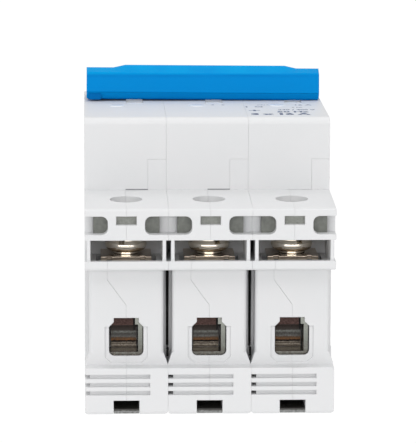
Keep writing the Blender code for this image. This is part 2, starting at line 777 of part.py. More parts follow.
def screw_mesh():
    """Terminal screw with a slot across its head and a cross recess; its origin is under the head."""
    head = HEAD_DIAMETER / 2
    crown = 0.48 * head
    shank = SHANK_DIAMETER / 2
    tip = STRAP_TOP + CLEARANCE - HEAD_BOTTOM
    point = shank / 3
    item = turned([
        (0, HEAD_HEIGHT), (crown, 0.96 * HEAD_HEIGHT), (0.78 * head, 0.84 * HEAD_HEIGHT),
        (0.94 * head, 0.69 * HEAD_HEIGHT), (head, 0.50 * HEAD_HEIGHT), (0.97 * head, 0.32 * HEAD_HEIGHT),
        (0.85 * head, 0.15 * HEAD_HEIGHT), (COLLAR_DIAMETER / 2, 0.05 * HEAD_HEIGHT),
        (COLLAR_DIAMETER / 2, -HEAD_LIFT / 2),
        (shank, -HEAD_LIFT / 2), (shank, tip + point), (shank - point, tip), (0, tip),
    ], SCREW_SIDES)
    long_half = RECESS_LENGTH / 2
    wide_half = RECESS_WIDTH / 2
    floor = HEAD_HEIGHT - RECESS_DEPTH
    cross = box((-head, -wide_half, floor), (head, wide_half, HEAD_HEIGHT + FAR))
    join(cross, box((-wide_half, -long_half, floor), (wide_half, long_half, HEAD_HEIGHT + FAR)))
    cut(item, cross)
    return take_mesh(tidy(item), "terminal_screw")


def plate_mesh():
    """Clamp plate under the screw's head, with two notches in its front edge, towards -Y."""
    half = PLATE_WIDTH / 2
    back = PLATE_LENGTH / 2 - CLEARANCE
    front = back - PLATE_LENGTH
    plate = box((-half, front, 0), (half, back, PLATE_THICKNESS))
    cut(plate, cylinder("Z", (0, 0), SHANK_DIAMETER / 2 + CLEARANCE, -FAR, FAR, 20))
    notch = PLATE_NOTCH / 2
    for side in (-1, 1):
        middle = side * PLATE_NOTCH_PLACE
        cut(plate, box((middle - notch, front - FAR, -FAR), (middle + notch, front + PLATE_NOTCH, FAR)))
    return take_mesh(tidy(plate), "clamp_plate")


def cage_mesh():
    """Terminal cage: a bent ring with a thick top, a tab by the strap and a floor that clears the stop."""
    left = -CAGE_SHIFT - CAGE_INNER_WIDTH / 2
    right = -CAGE_SHIFT + CAGE_INNER_WIDTH / 2
    top = CAGE_WALL + CAGE_INNER_HEIGHT
    ring = prism("Y", rounded([
        (left - CAGE_WALL, 0, CAGE_WALL), (right + CAGE_WALL, 0, CAGE_WALL),
        (right + CAGE_WALL, top + CAGE_TOP_WALL, CAGE_WALL / 2),
        (left - CAGE_WALL, top + CAGE_TOP_WALL, CAGE_WALL / 2),
    ]), -CAGE_LENGTH / 2, CAGE_LENGTH / 2)
    tab_end = TAB_THICKNESS - CAGE_LENGTH / 2
    cut(ring, box((left, -FAR, CAGE_WALL), (right, FAR, top - TAB_HEIGHT)))
    cut(ring, box((left, tab_end, top - TAB_HEIGHT - CLEARANCE), (right, FAR, top)))
    cut(ring, box((left, -FAR, top - TAB_HEIGHT - CLEARANCE), (right - TAB_WIDTH, FAR, top)))
    cut(ring, cylinder("Z", (0, 0), SHANK_DIAMETER / 2 + CLEARANCE, top - CLEARANCE, top + FAR, 20))
    floor_end = TERMINAL_REACH - stop_place()[1] - CLEARANCE
    cut(ring, box((left, floor_end, -FAR), (right, FAR, CAGE_WALL + CLEARANCE)))
    return take_mesh(tidy(ring), "cage")


def clip_mesh():
    """Rail clip at the line end: a nose under the rail's flange, a wide tongue and a thin tail."""
    nose = -(CHANNEL_REACH - CLIP_NOSE)
    flange_end = -(CHANNEL_REACH + CLIP_FLANGE_LENGTH)
    tail_end = -(BASE_REACH - CLEARANCE)
    low = CLIP_FLOOR
    tongue_low = low + CLIP_TAIL_HEIGHT + CLEARANCE
    high = low + CLIP_HEIGHT
    profile = [
        (nose, low), (nose, high - CLIP_NOSE / 3), (nose - CLIP_NOSE / 2, high),
        (flange_end, high), (flange_end, low + CLIP_TAIL_HEIGHT), (tail_end, low + CLIP_TAIL_HEIGHT),
        (tail_end, low),
    ]
    clip = prism("X", profile, -CLIP_WIDTH / 2, CLIP_WIDTH / 2)
    half = CLIP_FLANGE_WIDTH / 2
    tongue_near = -(CHANNEL_REACH + CLEARANCE)
    join(clip, box((-half, flange_end, tongue_low), (half, tongue_near, high)))
    return take_mesh(tidy(clip), "rail_clip")


def bar_point(near, up):
    """A point of the bar's section: how far back from its near edge, and how far above the face."""
    return (BAR_NEAR + near, FRONT + BAR_SEAT + up)


def bar_section(raised):
    """The bar's section in the off position: flat-topped at the ends, crowned where it is raised."""
    top = BAR_HEIGHT if raised else BAR_HEIGHT - BAR_RAISE
    ridge = 0.0 if raised else 0.10
    return rounded([
        bar_point(0.08 * BAR_DEPTH, 0) + (0,),
        bar_point(0, 0.22 * BAR_HEIGHT) + (0.0004,),
        bar_point(0.06 * BAR_DEPTH, (0.78 + ridge) * top) + (0.0008,),
        bar_point(0.34 * BAR_DEPTH, top) + (0.0010,),
        bar_point(0.80 * BAR_DEPTH, 0.86 * top) + (0.0012,),
        bar_point(BAR_DEPTH, 0.5 * BAR_HEIGHT) + (0.0012,),
        bar_point(0.92 * BAR_DEPTH, 0.1 * BAR_HEIGHT) + (0,),
        bar_point(0.84 * BAR_DEPTH, 0) + (0,),
    ])


def lever_axis_point(distance, aside=0.0):
    """(Y, Z) at a distance from the pivot along the lever in the off position; aside is towards its back."""
    lean = math.radians(LEVER_LEAN)
    return (TOGGLE_REACH + distance * math.sin(lean) + aside * math.cos(lean),
            TOGGLE_HEIGHT + distance * math.cos(lean) - aside * math.sin(lean))


def lever_strip(start, stop, half):
    """Outline of a strip along the lever's offset arm, between two distances from the pivot."""
    return [lever_axis_point(start, LEVER_OFFSET - half), lever_axis_point(stop, LEVER_OFFSET - half),
            lever_axis_point(stop, LEVER_OFFSET + half), lever_axis_point(start, LEVER_OFFSET + half)]


def bar_mesh():
    """The tie bar: low ends, a raised middle between two ramps, and a channel for the levers."""
    half = BAR_LENGTH / 2
    left = BAR_RAISE_SHIFT - BAR_RAISE_LENGTH / 2
    right = BAR_RAISE_SHIFT + BAR_RAISE_LENGTH / 2
    low = bar_section(False)
    high = bar_section(True)
    stations = [(-half, low), (left - BAR_RAMP, low), (left, high), (right, high),
                (right + BAR_RAMP, low), (half, low)]
    bar = loft([[(x, y, z) for y, z in section] for x, section in stations])
    reach = pole_centre(POLE_COUNT) + LEVER_PLACE + LEVER_WIDTH
    cut(bar, prism("X", lever_strip(0, LEVER_REACH + CLEARANCE, BAR_SOCKET / 2), -reach, reach))
    notch_start = -half + BAR_NOTCH_START
    notch_top = FRONT + BAR_SEAT + BAR_NOTCH_HEIGHT
    cut(bar, box((notch_start, BAR_NEAR - FAR, FRONT), (notch_start + BAR_NOTCH_LENGTH,
                                                       BAR_NEAR + BAR_NOTCH_DEPTH, notch_top)))
    move_origin(bar, (0, TOGGLE_REACH, TOGGLE_HEIGHT))
    bar.data.transform(Matrix.Rotation(math.radians(BAR_SKEW), 4, "Y"))
    return take_mesh(tidy(bar), "toggle_bar")


def lever_mesh():
    """A toggle lever: a drum that fills the slot, an arm beside its axis and a head in the bar's channel."""
    low = LEVER_PLACE - LEVER_WIDTH / 2
    high = LEVER_PLACE + LEVER_WIDTH / 2
    lever = cylinder("X", (TOGGLE_REACH, TOGGLE_HEIGHT), DRUM_RADIUS, low, high, 36)
    head_start = LEVER_REACH - LEVER_HEAD
    join(lever, prism("X", lever_strip(0, LEVER_REACH - CLEARANCE, LEVER_THICKNESS / 2), low, high))
    head = lever_strip(head_start, LEVER_REACH - CLEARANCE, BAR_SOCKET / 2 - CLEARANCE)
    join(lever, prism("X", head, low + CLEARANCE, high - CLEARANCE))
    cut(lever, cylinder("X", (TOGGLE_REACH, TOGGLE_HEIGHT), PIVOT_DIAMETER / 2 + CLEARANCE,
                        low - FAR, high + FAR, 20))
    move_origin(lever, (0, TOGGLE_REACH, TOGGLE_HEIGHT))
    return take_mesh(tidy(lever), "toggle_lever")


def move_origin(item, origin):
    """Move a mesh so that a point of it becomes its origin."""
    item.data.transform(Matrix.Translation([-value for value in origin]))
    return item


def arm_point(distance, aside=0.0, lean=ARM_LEAN):
    """(Y, Z) at a distance from the arm's pivot, measured down the arm; it is open at ARM_LEAN."""
    turn = math.radians(lean)
    return (ARM_PIVOT_REACH - distance * math.sin(turn) + aside * math.cos(turn),
            ARM_PIVOT_HEIGHT - distance * math.cos(turn) - aside * math.sin(turn))


def arm_mesh():
    """The moving contact arm, with its contact button, hung on the pivot."""
    low = -ARM_WIDTH / 2
    high = ARM_WIDTH / 2
    arm = cylinder("X", (ARM_PIVOT_REACH, ARM_PIVOT_HEIGHT), ARM_HUB_DIAMETER / 2, low, high, 20)
    half = ARM_THICKNESS / 2
    tip = ARM_TIP / 2
    blade = [
        arm_point(0, -half), arm_point(ARM_LENGTH, -tip), arm_point(ARM_LENGTH, tip), arm_point(0, half),
    ]
    join(arm, prism("X", blade, low, high))
    pad_start = ARM_LENGTH - CONTACT_DIAMETER
    pad = [arm_point(pad_start, -tip - CONTACT_HEIGHT), arm_point(ARM_LENGTH, -tip - CONTACT_HEIGHT),
           arm_point(ARM_LENGTH, 0), arm_point(pad_start, 0)]
    join(arm, prism("X", pad, low, high))
    cut(arm, cylinder("X", (ARM_PIVOT_REACH, ARM_PIVOT_HEIGHT), PIVOT_DIAMETER / 2 + CLEARANCE,
                      low - FAR, high + FAR, 20))
    move_origin(arm, (0, ARM_PIVOT_REACH, ARM_PIVOT_HEIGHT))
    return take_mesh(tidy(arm), "contact_arm")


def contact_seat(aside=0.0):
    """Both ends of the line that the moving contact's face reaches once the arm has closed."""
    lean = ARM_LEAN + ARM_SWING
    face = -(ARM_TIP / 2 + CONTACT_HEIGHT + CLEARANCE) - aside
    return arm_point(ARM_LENGTH, face, lean), arm_point(ARM_LENGTH - CONTACT_DIAMETER, face, lean)


def stop_place():
    """The cable stop at the back of the chamber: its back, its front and its foot."""
    back = CHAMBER_START + CLEARANCE
    return back, back + STRAP_THICKNESS, STRAP_BOTTOM - STRAP_STOP


def cable_stop(end):
    """The leg that a cable's end runs against; it hangs from the strap at the back of the chamber."""
    back, front, foot = stop_place()
    start, stop = span(end, back, front)
    low, high = across(end, STRAP_LEFT, STOP_RIGHT)
    return box((low, start, foot), (high, stop, STRAP_TOP - STRAP_THICKNESS / 2))


def line_strap_mesh():
    """The line strap: a flat bar from the cage, and a riser whose slanted end is the fixed contact."""
    seat_foot, seat_head = contact_seat()
    back_foot, back_head = contact_seat(STRAP_THICKNESS)
    outer = -CHAMBER_END + CLEARANCE
    riser = seat_foot[0] - STRAP_THICKNESS
    profile = [
        (outer, STRAP_BOTTOM), (seat_foot[0], STRAP_BOTTOM), seat_foot, seat_head, back_head,
        (riser, back_foot[1]), (riser, STRAP_TOP), (outer, STRAP_TOP),
    ]
    strap = join(prism("X", profile, *across(LINE_END, STRAP_LEFT, STRAP_RIGHT)), cable_stop(LINE_END))
    return take_mesh(tidy(strap), "line_strap")


def load_strap_mesh():
    """The load strap: a flat bar from the cage to the post that holds the bimetal's foot."""
    post = CHUTE_END + 2 * CLEARANCE
    foot_top = STRAP_TOP + 2 * STRAP_THICKNESS
    profile = [
        (post, STRAP_BOTTOM), (CHAMBER_END - CLEARANCE, STRAP_BOTTOM), (CHAMBER_END - CLEARANCE, STRAP_TOP),
        (post + STRAP_THICKNESS, STRAP_TOP), (post + STRAP_THICKNESS, foot_top), (post, foot_top),
    ]
    strap = join(prism("X", profile, *across(LOAD_END, STRAP_LEFT, STRAP_RIGHT)), cable_stop(LOAD_END))
    return take_mesh(tidy(strap), "load_strap")


def bimetal_mesh():
    """The bimetal strip, standing on the load strap's post."""
    post = CHUTE_END + 2 * CLEARANCE
    low = STRAP_TOP + 2 * STRAP_THICKNESS + CLEARANCE
    half = BIMETAL_WIDTH / 2
    strip = box((-half, post, low), (half, post + BIMETAL_THICKNESS, low + BIMETAL_LENGTH))
    return take_mesh(strip, "bimetal")


def chute_mesh():
    """The arc chute: steel plates between two cards, as one stack with open slots along Y."""
    half = CHUTE_WIDTH / 2
    stack = box((-half, CHUTE_NEAR, CHUTE_FOOT), (half, CHUTE_END, CHUTE_FOOT + CHUTE_HEIGHT))
    inner = half - CHUTE_CARD
    step = (CHUTE_HEIGHT - CHUTE_PLATE) / (CHUTE_PLATES - 1)
    for index in range(CHUTE_PLATES - 1):
        low = CHUTE_FOOT + index * step + CHUTE_PLATE
        cut(stack, box((-inner, CHUTE_NEAR - FAR, low), (inner, CHUTE_END + FAR, low + step - CHUTE_PLATE)))
    return take_mesh(tidy(stack), "arc_chute")


def coil_length():
    """Length of the winding along the core."""
    return COIL_TURNS * COIL_PITCH


def coil_mesh():
    """The trip coil: a helix of round wire along Y."""
    curve = bpy.data.curves.new("winding", "CURVE")
    curve.dimensions = "3D"
    curve.bevel_depth = COIL_WIRE / 2
    curve.bevel_resolution = 2
    curve.use_fill_caps = True
    count = COIL_TURNS * COIL_POINTS + 1
    spline = curve.splines.new("POLY")
    spline.points.add(count - 1)
    for index, point in enumerate(spline.points):
        angle = 2 * math.pi * index / COIL_POINTS
        along = -coil_length() / 2 + coil_length() * index / (count - 1)
        point.co = (COIL_RADIUS * math.cos(angle), along, COIL_RADIUS * math.sin(angle), 1)
    guide = scratch_object("winding", curve)
    bpy.context.view_layer.update()
    mesh = bpy.data.meshes.new_from_object(guide.evaluated_get(bpy.context.evaluated_depsgraph_get()))
    bpy.data.objects.remove(guide, do_unlink=True)
    bm = bmesh.new()
    bm.from_mesh(mesh)
    bmesh.ops.remove_doubles(bm, verts=bm.verts[:], dist=1e-7)
    return mesh_from("trip_coil", bm)


def yoke_mesh():
    """The coil's steel yoke: a U round the winding, with the core between its two cheeks."""
    reach = coil_length() / 2 + COIL_WIRE + CLEARANCE
    low = -YOKE_DROP
    high = COIL_RADIUS
    half = YOKE_WIDTH / 2
    yoke = box((-half, -reach - YOKE_THICKNESS, low), (half, reach + YOKE_THICKNESS, high))
    cut(yoke, box((-FAR, -reach, low + YOKE_THICKNESS), (FAR, reach, high + FAR)))
    core = CORE_DIAMETER / 2
    join(yoke, cylinder("Y", (0, 0), core, -reach - YOKE_THICKNESS / 2, reach + YOKE_THICKNESS / 2, 20))
    return take_mesh(tidy(yoke), "coil_yoke")


def rivet_mesh():
    """A rivet through all poles, with a flat head sunk into each outer side."""
    half = POLE_COUNT * POLE_PITCH / 2 - POLE_GAP / 2 - RIVET_SINK
    shaft = cylinder("X", (0, 0), RIVET_DIAMETER / 2, -half, half, 16)
    head = RIVET_HEAD_DIAMETER / 2
    inner = half + CLEARANCE / 2
    join(shaft, cylinder("X", (0, 0), RIVET_DIAMETER / 2, -inner - CLEARANCE, inner + CLEARANCE, 16))
    join(shaft, cylinder("X", (0, 0), head, inner, inner + RIVET_HEAD_HEIGHT, 16))
    join(shaft, cylinder("X", (0, 0), head, -inner - RIVET_HEAD_HEIGHT, -inner, 16))
    return take_mesh(tidy(shaft), "rivet")


def build():
    """Make every piece once, and place its copies."""
    clear_scene()
    group = new_collection("miniature_circuit_breaker")
    housing = new_material("grey_polyamide", (0.78, 0.79, 0.80), 0.42, 0.0)
    blue = new_material("blue_polyamide", (0.0, 0.24, 0.68), 0.38, 0.0)
    nickel = new_material("nickel_plated_steel", (0.66, 0.62, 0.56), 0.28, 1.0)
    zinc = new_material("zinc_plated_steel", (0.45, 0.45, 0.44), 0.40, 1.0)
    copper = new_material("copper", (0.62, 0.30, 0.18), 0.35, 1.0)
    dark = new_material("black_clip_plastic", (0.22, 0.22, 0.21), 0.50, 0.0)

    case, cover = housing_halves()
    screw, plate, cage, clip = screw_mesh(), plate_mesh(), cage_mesh(), clip_mesh()
    lever, arm = lever_mesh(), arm_mesh()
    line_strap, load_strap, bimetal = line_strap_mesh(), load_strap_mesh(), bimetal_mesh()
    chute, coil, yoke, rivet = chute_mesh(), coil_mesh(), yoke_mesh(), rivet_mesh()

    place(group, "toggle_bar", bar_mesh(), blue, (0, TOGGLE_REACH, TOGGLE_HEIGHT))
    for pole in range(1, POLE_COUNT + 1):
        x = pole_centre(pole)
        place(group, f"case_{pole}", case, housing, (x, 0, 0))
        place(group, f"cover_{pole}", cover, housing, (x, 0, 0))
        place(group, f"toggle_lever_{pole}", lever, housing, (x, TOGGLE_REACH, TOGGLE_HEIGHT))
        place(group, f"contact_arm_{pole}", arm, copper, (x, ARM_PIVOT_REACH, ARM_PIVOT_HEIGHT))
        place(group, f"line_strap_{pole}", line_strap, copper, (x, 0, 0))
        place(group, f"load_strap_{pole}", load_strap, copper, (x, 0, 0))
        place(group, f"bimetal_{pole}", bimetal, nickel, (x, 0, 0))
        place(group, f"arc_chute_{pole}", chute, zinc, (x, 0, 0))
        place(group, f"trip_coil_{pole}", coil, copper, (x, -COIL_REACH, COIL_HEIGHT))
        place(group, f"coil_yoke_{pole}", yoke, zinc, (x, -COIL_REACH, COIL_HEIGHT))
        for end, word in ((LINE_END, "line"), (LOAD_END, "load")):
            y = end * TERMINAL_REACH
            turn = SCREW_TURNS[pole - 1]
            place(group, f"{word}_screw_{pole}", screw, nickel, (x, y, HEAD_BOTTOM), end, turn)
            place(group, f"{word}_clamp_plate_{pole}", plate, nickel, (x, y, PLATE_BOTTOM), end)
            place(group, f"{word}_cage_{pole}", cage, zinc, (x, y, CAGE_FLOOR), end)
            place(group, f"{word}_rail_clip_{pole}", clip, dark, (x, 0, 0), end)
    for index, (y, z) in enumerate(rivet_places(), 1):
        place(group, f"rivet_{index}", rivet, zinc, (0, y, z))


build()
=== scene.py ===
"""Looks of a three-pole miniature circuit breaker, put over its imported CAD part.

Every length is in metres, in the frame of the part: X runs across the poles, -Y is the line end
that the camera sees, and Z starts at the feet of the housings.
"""
import functools
import json
import logging
import math
from dataclasses import dataclass
from enum import Enum

import bmesh
import bpy
import numpy as np
from mathutils import Matrix, Vector
from mathutils.bvhtree import BVHTree

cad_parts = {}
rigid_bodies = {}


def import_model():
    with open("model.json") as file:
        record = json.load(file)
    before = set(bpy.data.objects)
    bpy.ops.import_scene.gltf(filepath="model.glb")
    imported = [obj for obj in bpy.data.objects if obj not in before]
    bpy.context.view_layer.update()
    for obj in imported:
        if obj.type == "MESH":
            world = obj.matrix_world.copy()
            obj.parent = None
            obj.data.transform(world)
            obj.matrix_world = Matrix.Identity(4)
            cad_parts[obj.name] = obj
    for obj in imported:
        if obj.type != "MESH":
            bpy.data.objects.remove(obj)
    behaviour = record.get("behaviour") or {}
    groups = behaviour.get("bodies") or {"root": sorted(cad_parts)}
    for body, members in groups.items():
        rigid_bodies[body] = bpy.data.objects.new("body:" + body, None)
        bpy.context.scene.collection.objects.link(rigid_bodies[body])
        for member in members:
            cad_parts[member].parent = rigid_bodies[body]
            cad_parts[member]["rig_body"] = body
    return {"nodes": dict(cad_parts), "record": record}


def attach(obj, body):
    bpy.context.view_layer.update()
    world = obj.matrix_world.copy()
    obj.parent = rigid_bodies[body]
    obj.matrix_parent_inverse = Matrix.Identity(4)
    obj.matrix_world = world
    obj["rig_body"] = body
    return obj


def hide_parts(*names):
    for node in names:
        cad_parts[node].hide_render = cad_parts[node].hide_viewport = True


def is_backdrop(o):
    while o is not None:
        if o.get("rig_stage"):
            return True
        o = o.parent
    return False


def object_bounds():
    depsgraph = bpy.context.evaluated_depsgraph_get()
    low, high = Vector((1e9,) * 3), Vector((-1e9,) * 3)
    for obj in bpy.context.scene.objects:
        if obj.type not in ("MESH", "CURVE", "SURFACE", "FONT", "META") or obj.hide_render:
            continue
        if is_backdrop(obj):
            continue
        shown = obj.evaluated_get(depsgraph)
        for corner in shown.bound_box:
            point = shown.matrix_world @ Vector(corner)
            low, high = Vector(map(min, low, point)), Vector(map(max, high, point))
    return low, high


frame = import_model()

LOG = logging.getLogger("breaker")
MM = 0.001
POLES = (1, 2, 3)
POLE_PITCH = 17.5 * MM
POLE_HALF = 8.70 * MM
HOUSINGS = tuple(f"{word}_{pole}" for word in ("case", "cover") for pole in POLES)
HOUSING_EDGE = 0.20 * MM
HOUSING_GROWTH = 0.010 * MM
SEAM_BAND = 0.06 * MM
SEAM_GAP = 0.03 * MM
SEAM_SEARCH = 0.30 * MM
LEVER_PLACE = 2.40 * MM
LEVER_HALF = 1.65 * MM
LEVER_HALF_SEEN = 1.81 * MM
CLIP_HALF = 2.40 * MM
CLIP_HALF_SEEN = 2.65 * MM
INK_THICKNESS = 0.02 * MM
# Height of a capital letter as a share of the letters' nominal size.
CAPITAL_SHARE = 0.69
# Facets closer than this distance, or flatter than this bend in degrees, are one in a copy.
MERGE_DISTANCE = 0.002 * MM
FLAT_BEND = 0.5
# An edge that bends more than this many degrees is softened.
SOFTENED_BEND = 35.0
# A sharp corner moves out by at most this many times the growth of its faces.
CORNER_LIMIT = 2.0
# How far each pole's screws stand turned, in degrees.
SCREW_TURNS = {1: 77.0, 2: 114.0, 3: 111.0}


class End(Enum):
    """The two ends of a pole, with the sign of Y that each lies at."""

    LINE = -1
    LOAD = 1

    @property
    def word(self) -> str:
        """The end's name as the CAD nodes spell it."""
        return self.name.lower()


def pole_centre(pole: int) -> float:
    """Give X of a pole's middle.

    Args:
        pole: 1 for the left pole.

    Returns:
        The place across the poles.
    """
    return (pole - 2) * POLE_PITCH


def linear(hex_colour: str) -> tuple[float, float, float, float]:
    """Change a display colour into the linear colour that shaders take.

    Each channel c of 0 to 1 becomes c / 12.92 up to 0.04045, and ((c + 0.055) / 1.055) ^ 2.4 above it.

    Args:
        hex_colour: colour as six hexadecimal digits.

    Returns:
        Linear red, green, blue and an alpha of one.
    """
    channels = [int(hex_colour[i : i + 2], 16) / 255 for i in (0, 2, 4)]
    return (*[c / 12.92 if c <= 0.04045 else ((c + 0.055) / 1.055) ** 2.4 for c in channels], 1.0)


class Graph:
    """A small helper that adds nodes to one shader tree and links them."""

    def __init__(self, tree: bpy.types.NodeTree) -> None:
        """Keep the tree.

        Args:
            tree: node tree to add to.
        """
        self.tree = tree

    def add(self, kind: str, inputs: dict | None = None, **settings) -> bpy.types.Node:
        """Add a node, set its properties, and set or link its inputs.

        Args:
            kind: node type without its ShaderNode prefix.
            inputs: input name or number to a value, or to the socket that drives it.
            settings: node properties by name.

        Returns:
            The new node.
        """
        node = self.tree.nodes.new("ShaderNode" + kind)
        for name, value in settings.items():
            setattr(node, name, value)
        for name, value in (inputs or {}).items():
            if isinstance(value, bpy.types.NodeSocket):
                self.tree.links.new(value, node.inputs[name])
            else:
                node.inputs[name].default_value = value
        return node

    def millimetres(self) -> bpy.types.NodeSocket:
        """Give object coordinates in millimetres, so that pattern scales read as real sizes.

        Returns:
            The coordinates.
        """
        place = self.add("TexCoord")
        scaled = self.add(
            "VectorMath", {0: place.outputs["Object"], 1: (1000, 1000, 1000)}, operation="MULTIPLY"
        )
        return scaled.outputs["Vector"]

    def noise(self, place: bpy.types.NodeSocket, size_mm: float, detail: float = 2.0) -> bpy.types.NodeSocket:
        """Add a noise whose blotches are about size_mm across.

        Args:
            place: coordinates in millimetres.
            size_mm: rough size of one blotch.
            detail: number of finer octaves.

        Returns:
            The noise's value from 0 to 1.
        """
        node = self.add("TexNoise", {"Vector": place, "Scale": 1 / size_mm, "Detail": detail})
        return node.outputs["Fac"]

    def spread(self, value: bpy.types.NodeSocket, low: float, high: float) -> bpy.types.NodeSocket:
        """Stretch the middle of a noise over a range.

        Args:
            value: noise value from 0 to 1.
            low: result where the noise is 0.3.
            high: result where the noise is 0.7.

        Returns:
            The stretched value.
        """
        node = self.add(
            "MapRange", {"Value": value, "From Min": 0.3, "From Max": 0.7, "To Min": low, "To Max": high}
        )
        return node.outputs["Result"]

    def mix(
        self,
        factor: bpy.types.NodeSocket,
        first: tuple | bpy.types.NodeSocket,
        second: tuple | bpy.types.NodeSocket,
    ) -> bpy.types.NodeSocket:
        """Mix two colours, each given as a value or as a socket.

        Args:
            factor: 0 for the first, 1 for the second.
            first: colour or socket.
            second: colour or socket.

        Returns:
            The mixed colour.
        """
        # The Mix node has a socket for each kind of value; 6, 7 and output 2 are those of colours.
        return self.add("Mix", {"Factor": factor, 6: first, 7: second}, data_type="RGBA").outputs[2]

    def bands(self, place: bpy.types.NodeSocket, bands: tuple, ragged_mm: float) -> bpy.types.NodeSocket:
        """Colour a surface in level bands with ragged borders.

        Args:
            place: coordinates in millimetres.
            bands: pairs of a height in millimetres and the display colour that starts there.
            ragged_mm: how far a border strays.

        Returns:
            The colour.
        """
        height = self.add("SeparateXYZ", {"Vector": place}).outputs["Z"]
        stray = self.spread(self.noise(place, size_mm=0.5, detail=4.0), -ragged_mm, ragged_mm)
        ragged = self.add("Math", {0: height, 1: stray}, operation="ADD").outputs["Value"]
        low, high = bands[0][0], bands[-1][0]
        share = self.add("MapRange", {"Value": ragged, "From Min": low, "From Max": high}).outputs["Result"]
        ramp = self.add("ValToRGB", {"Fac": share})
        elements = ramp.color_ramp.elements
        while len(elements) < len(bands):
            elements.new(0.5)
        for element, (start, colour) in zip(elements, bands):
            element.position = (start - low) / (high - low)
            element.color = linear(colour)
        return ramp.outputs["Color"]


@dataclass(frozen=True)
class Finish:
    """A surface as it comes from its process.

    Attributes:
        name: real material and process.
        colour: display colour.
        second: display colour of the blotches.
        blotch_mm: size of the blotches.
        roughness: middle roughness.
        roughness_play: how far the roughness strays either way.
        metallic: one for bare metal.
        grain_mm: size of the fine grain in the surface.
        grain_depth_mm: height of that grain.
        specular: reflectance setting of plastics.
        bands: level bands of colour that replace the main colour, as heights in mm and colours.
        ragged_mm: how far a band's border strays.
    """

    name: str
    colour: str
    second: str
    blotch_mm: float = 6.0
    roughness: float = 0.4
    roughness_play: float = 0.04
    metallic: float = 0.0
    grain_mm: float = 0.12
    grain_depth_mm: float = 0.002
    specular: float = 0.5
    bands: tuple = ()
    ragged_mm: float = 0.35

    def material(self) -> bpy.types.Material:
        """Make the material, or give it back if it was made before.

        Returns:
            The material.
        """
        made = bpy.data.materials.get(self.name)
        if made:
            return made
        made = bpy.data.materials.new(self.name)
        made.use_nodes = True
        graph = Graph(made.node_tree)
        shader = made.node_tree.nodes["Principled BSDF"]
        place = graph.millimetres()
        if self.bands:
            main = graph.bands(place, self.bands, self.ragged_mm)
            blotches = graph.spread(graph.noise(place, self.blotch_mm, detail=5.0), low=0.0, high=0.7)
        else:
            main = linear(self.colour)
            blotches = graph.spread(graph.noise(place, self.blotch_mm), low=0.0, high=1.0)
        mixed = graph.mix(blotches, main, linear(self.second))
        made.node_tree.links.new(mixed, shader.inputs["Base Color"])
        dull = graph.spread(
            graph.noise(place, self.blotch_mm / 4, detail=4.0),
            self.roughness - self.roughness_play,
            self.roughness + self.roughness_play,
        )
        made.node_tree.links.new(dull, shader.inputs["Roughness"])
        grain = graph.add(
            "Bump",
            {
                "Height": graph.noise(place, self.grain_mm, detail=3.0),
                "Strength": 1.0,
                "Distance": self.grain_depth_mm * MM,
            },
        )
        made.node_tree.links.new(grain.outputs["Normal"], shader.inputs["Normal"])
        shader.inputs["Metallic"].default_value = self.metallic
        shader.inputs["Specular IOR Level"].default_value = self.specular
        return made


# A satin moulding: an even pale grey with wide, soft highlights.
HOUSING = Finish(
    "Polyamide, injection moulded, light grey", "D9D9DA", "D7D8D9",
    blotch_mm=9.0, roughness=0.45, roughness_play=0.03,
)
# The same plastic in blue, with painted light and shade on the bar: darker towards its foot, a band of
# painted crease shade just under the top chamfer, and lighter towards the top as painted light.
TOGGLE = Finish(
    "Polyamide, injection moulded, blue", "0086D0", "0084CC",
    blotch_mm=7.0, roughness=0.42, roughness_play=0.03,
    specular=0.03,
    bands=(
        (61.0, "007AC4"), (62.6, "0083CC"), (65.6, "0084CD"),
        (66.25, "0079C2"), (66.8, "0093D2"), (68.3, "009AD6"),
    ),
    ragged_mm=0.02,
)
# Painted shade: the bar's blue, as dark as it looks in a recess.
NOTCH = Finish(
    "Polyamide, injection moulded, blue, in a recess", "0067AE", "0063A8",
    blotch_mm=3.0, roughness=0.5, roughness_play=0.03,
    specular=0.03,
)
# Painted light: satin like the housings, but nearly white, so that the levers look light in the shade of
# their slots.
LEVER = Finish(
    "Polyamide, injection moulded, near white", "F6F6F6", "F2F3F4",
    blotch_mm=9.0, roughness=0.45, roughness_play=0.03,
)
# Glossy enough to mirror the soft boxes.
INDICATOR = Finish(
    "Polycarbonate, injection moulded, white", "F4F4F2", "F1F1EF",
    blotch_mm=3.0, roughness=0.18, roughness_play=0.02,
)
# Flat and a little uneven, as ink lies after the pad lifts.
INK = Finish(
    "Ink, pad printed, dark blue", "3E4A68", "4A5672",
    blotch_mm=0.4, roughness=0.6, roughness_play=0.05,
)
# Warm and mirror-like, with faint dents from tumbling.
NICKEL = Finish(
    "Steel, nickel plated and tumbled", "FBF4E8", "EFE4D2",
    blotch_mm=1.6, roughness=0.15, roughness_play=0.05,
    metallic=1.0, grain_mm=0.3, grain_depth_mm=0.001,
)
# Warm like the screws, but darker and duller.
PLATE = Finish(
    "Steel strip, nickel plated and stamped", "CFC0AE", "B4A698",
    blotch_mm=1.4, roughness=0.20, roughness_play=0.05,
    metallic=1.0, grain_mm=0.3, grain_depth_mm=0.002,
)
# Cool grey with a fine spangle.
ZINC = Finish(
    "Steel strip, zinc plated", "B4B6B1", "9A9C97",
    blotch_mm=1.2, roughness=0.34, roughness_play=0.08,
    metallic=1.0, grain_mm=0.25, grain_depth_mm=0.004,
)
# A painted highlight along the edge of its sill, painted shade just above it, and lighter towards the top.
CAGE = Finish(
    "Steel strip, zinc plated, worn at its edges", "A4A69F", "8C8E88",
    blotch_mm=0.8, roughness=0.30, roughness_play=0.08,
    metallic=1.0, grain_mm=0.25, grain_depth_mm=0.004,
    bands=((11.6, "C2B8AA"), (11.9, "5A524B"), (12.8, "625E58"), (15.0, "7F817B"), (20.0, "A9ABA3")),
)
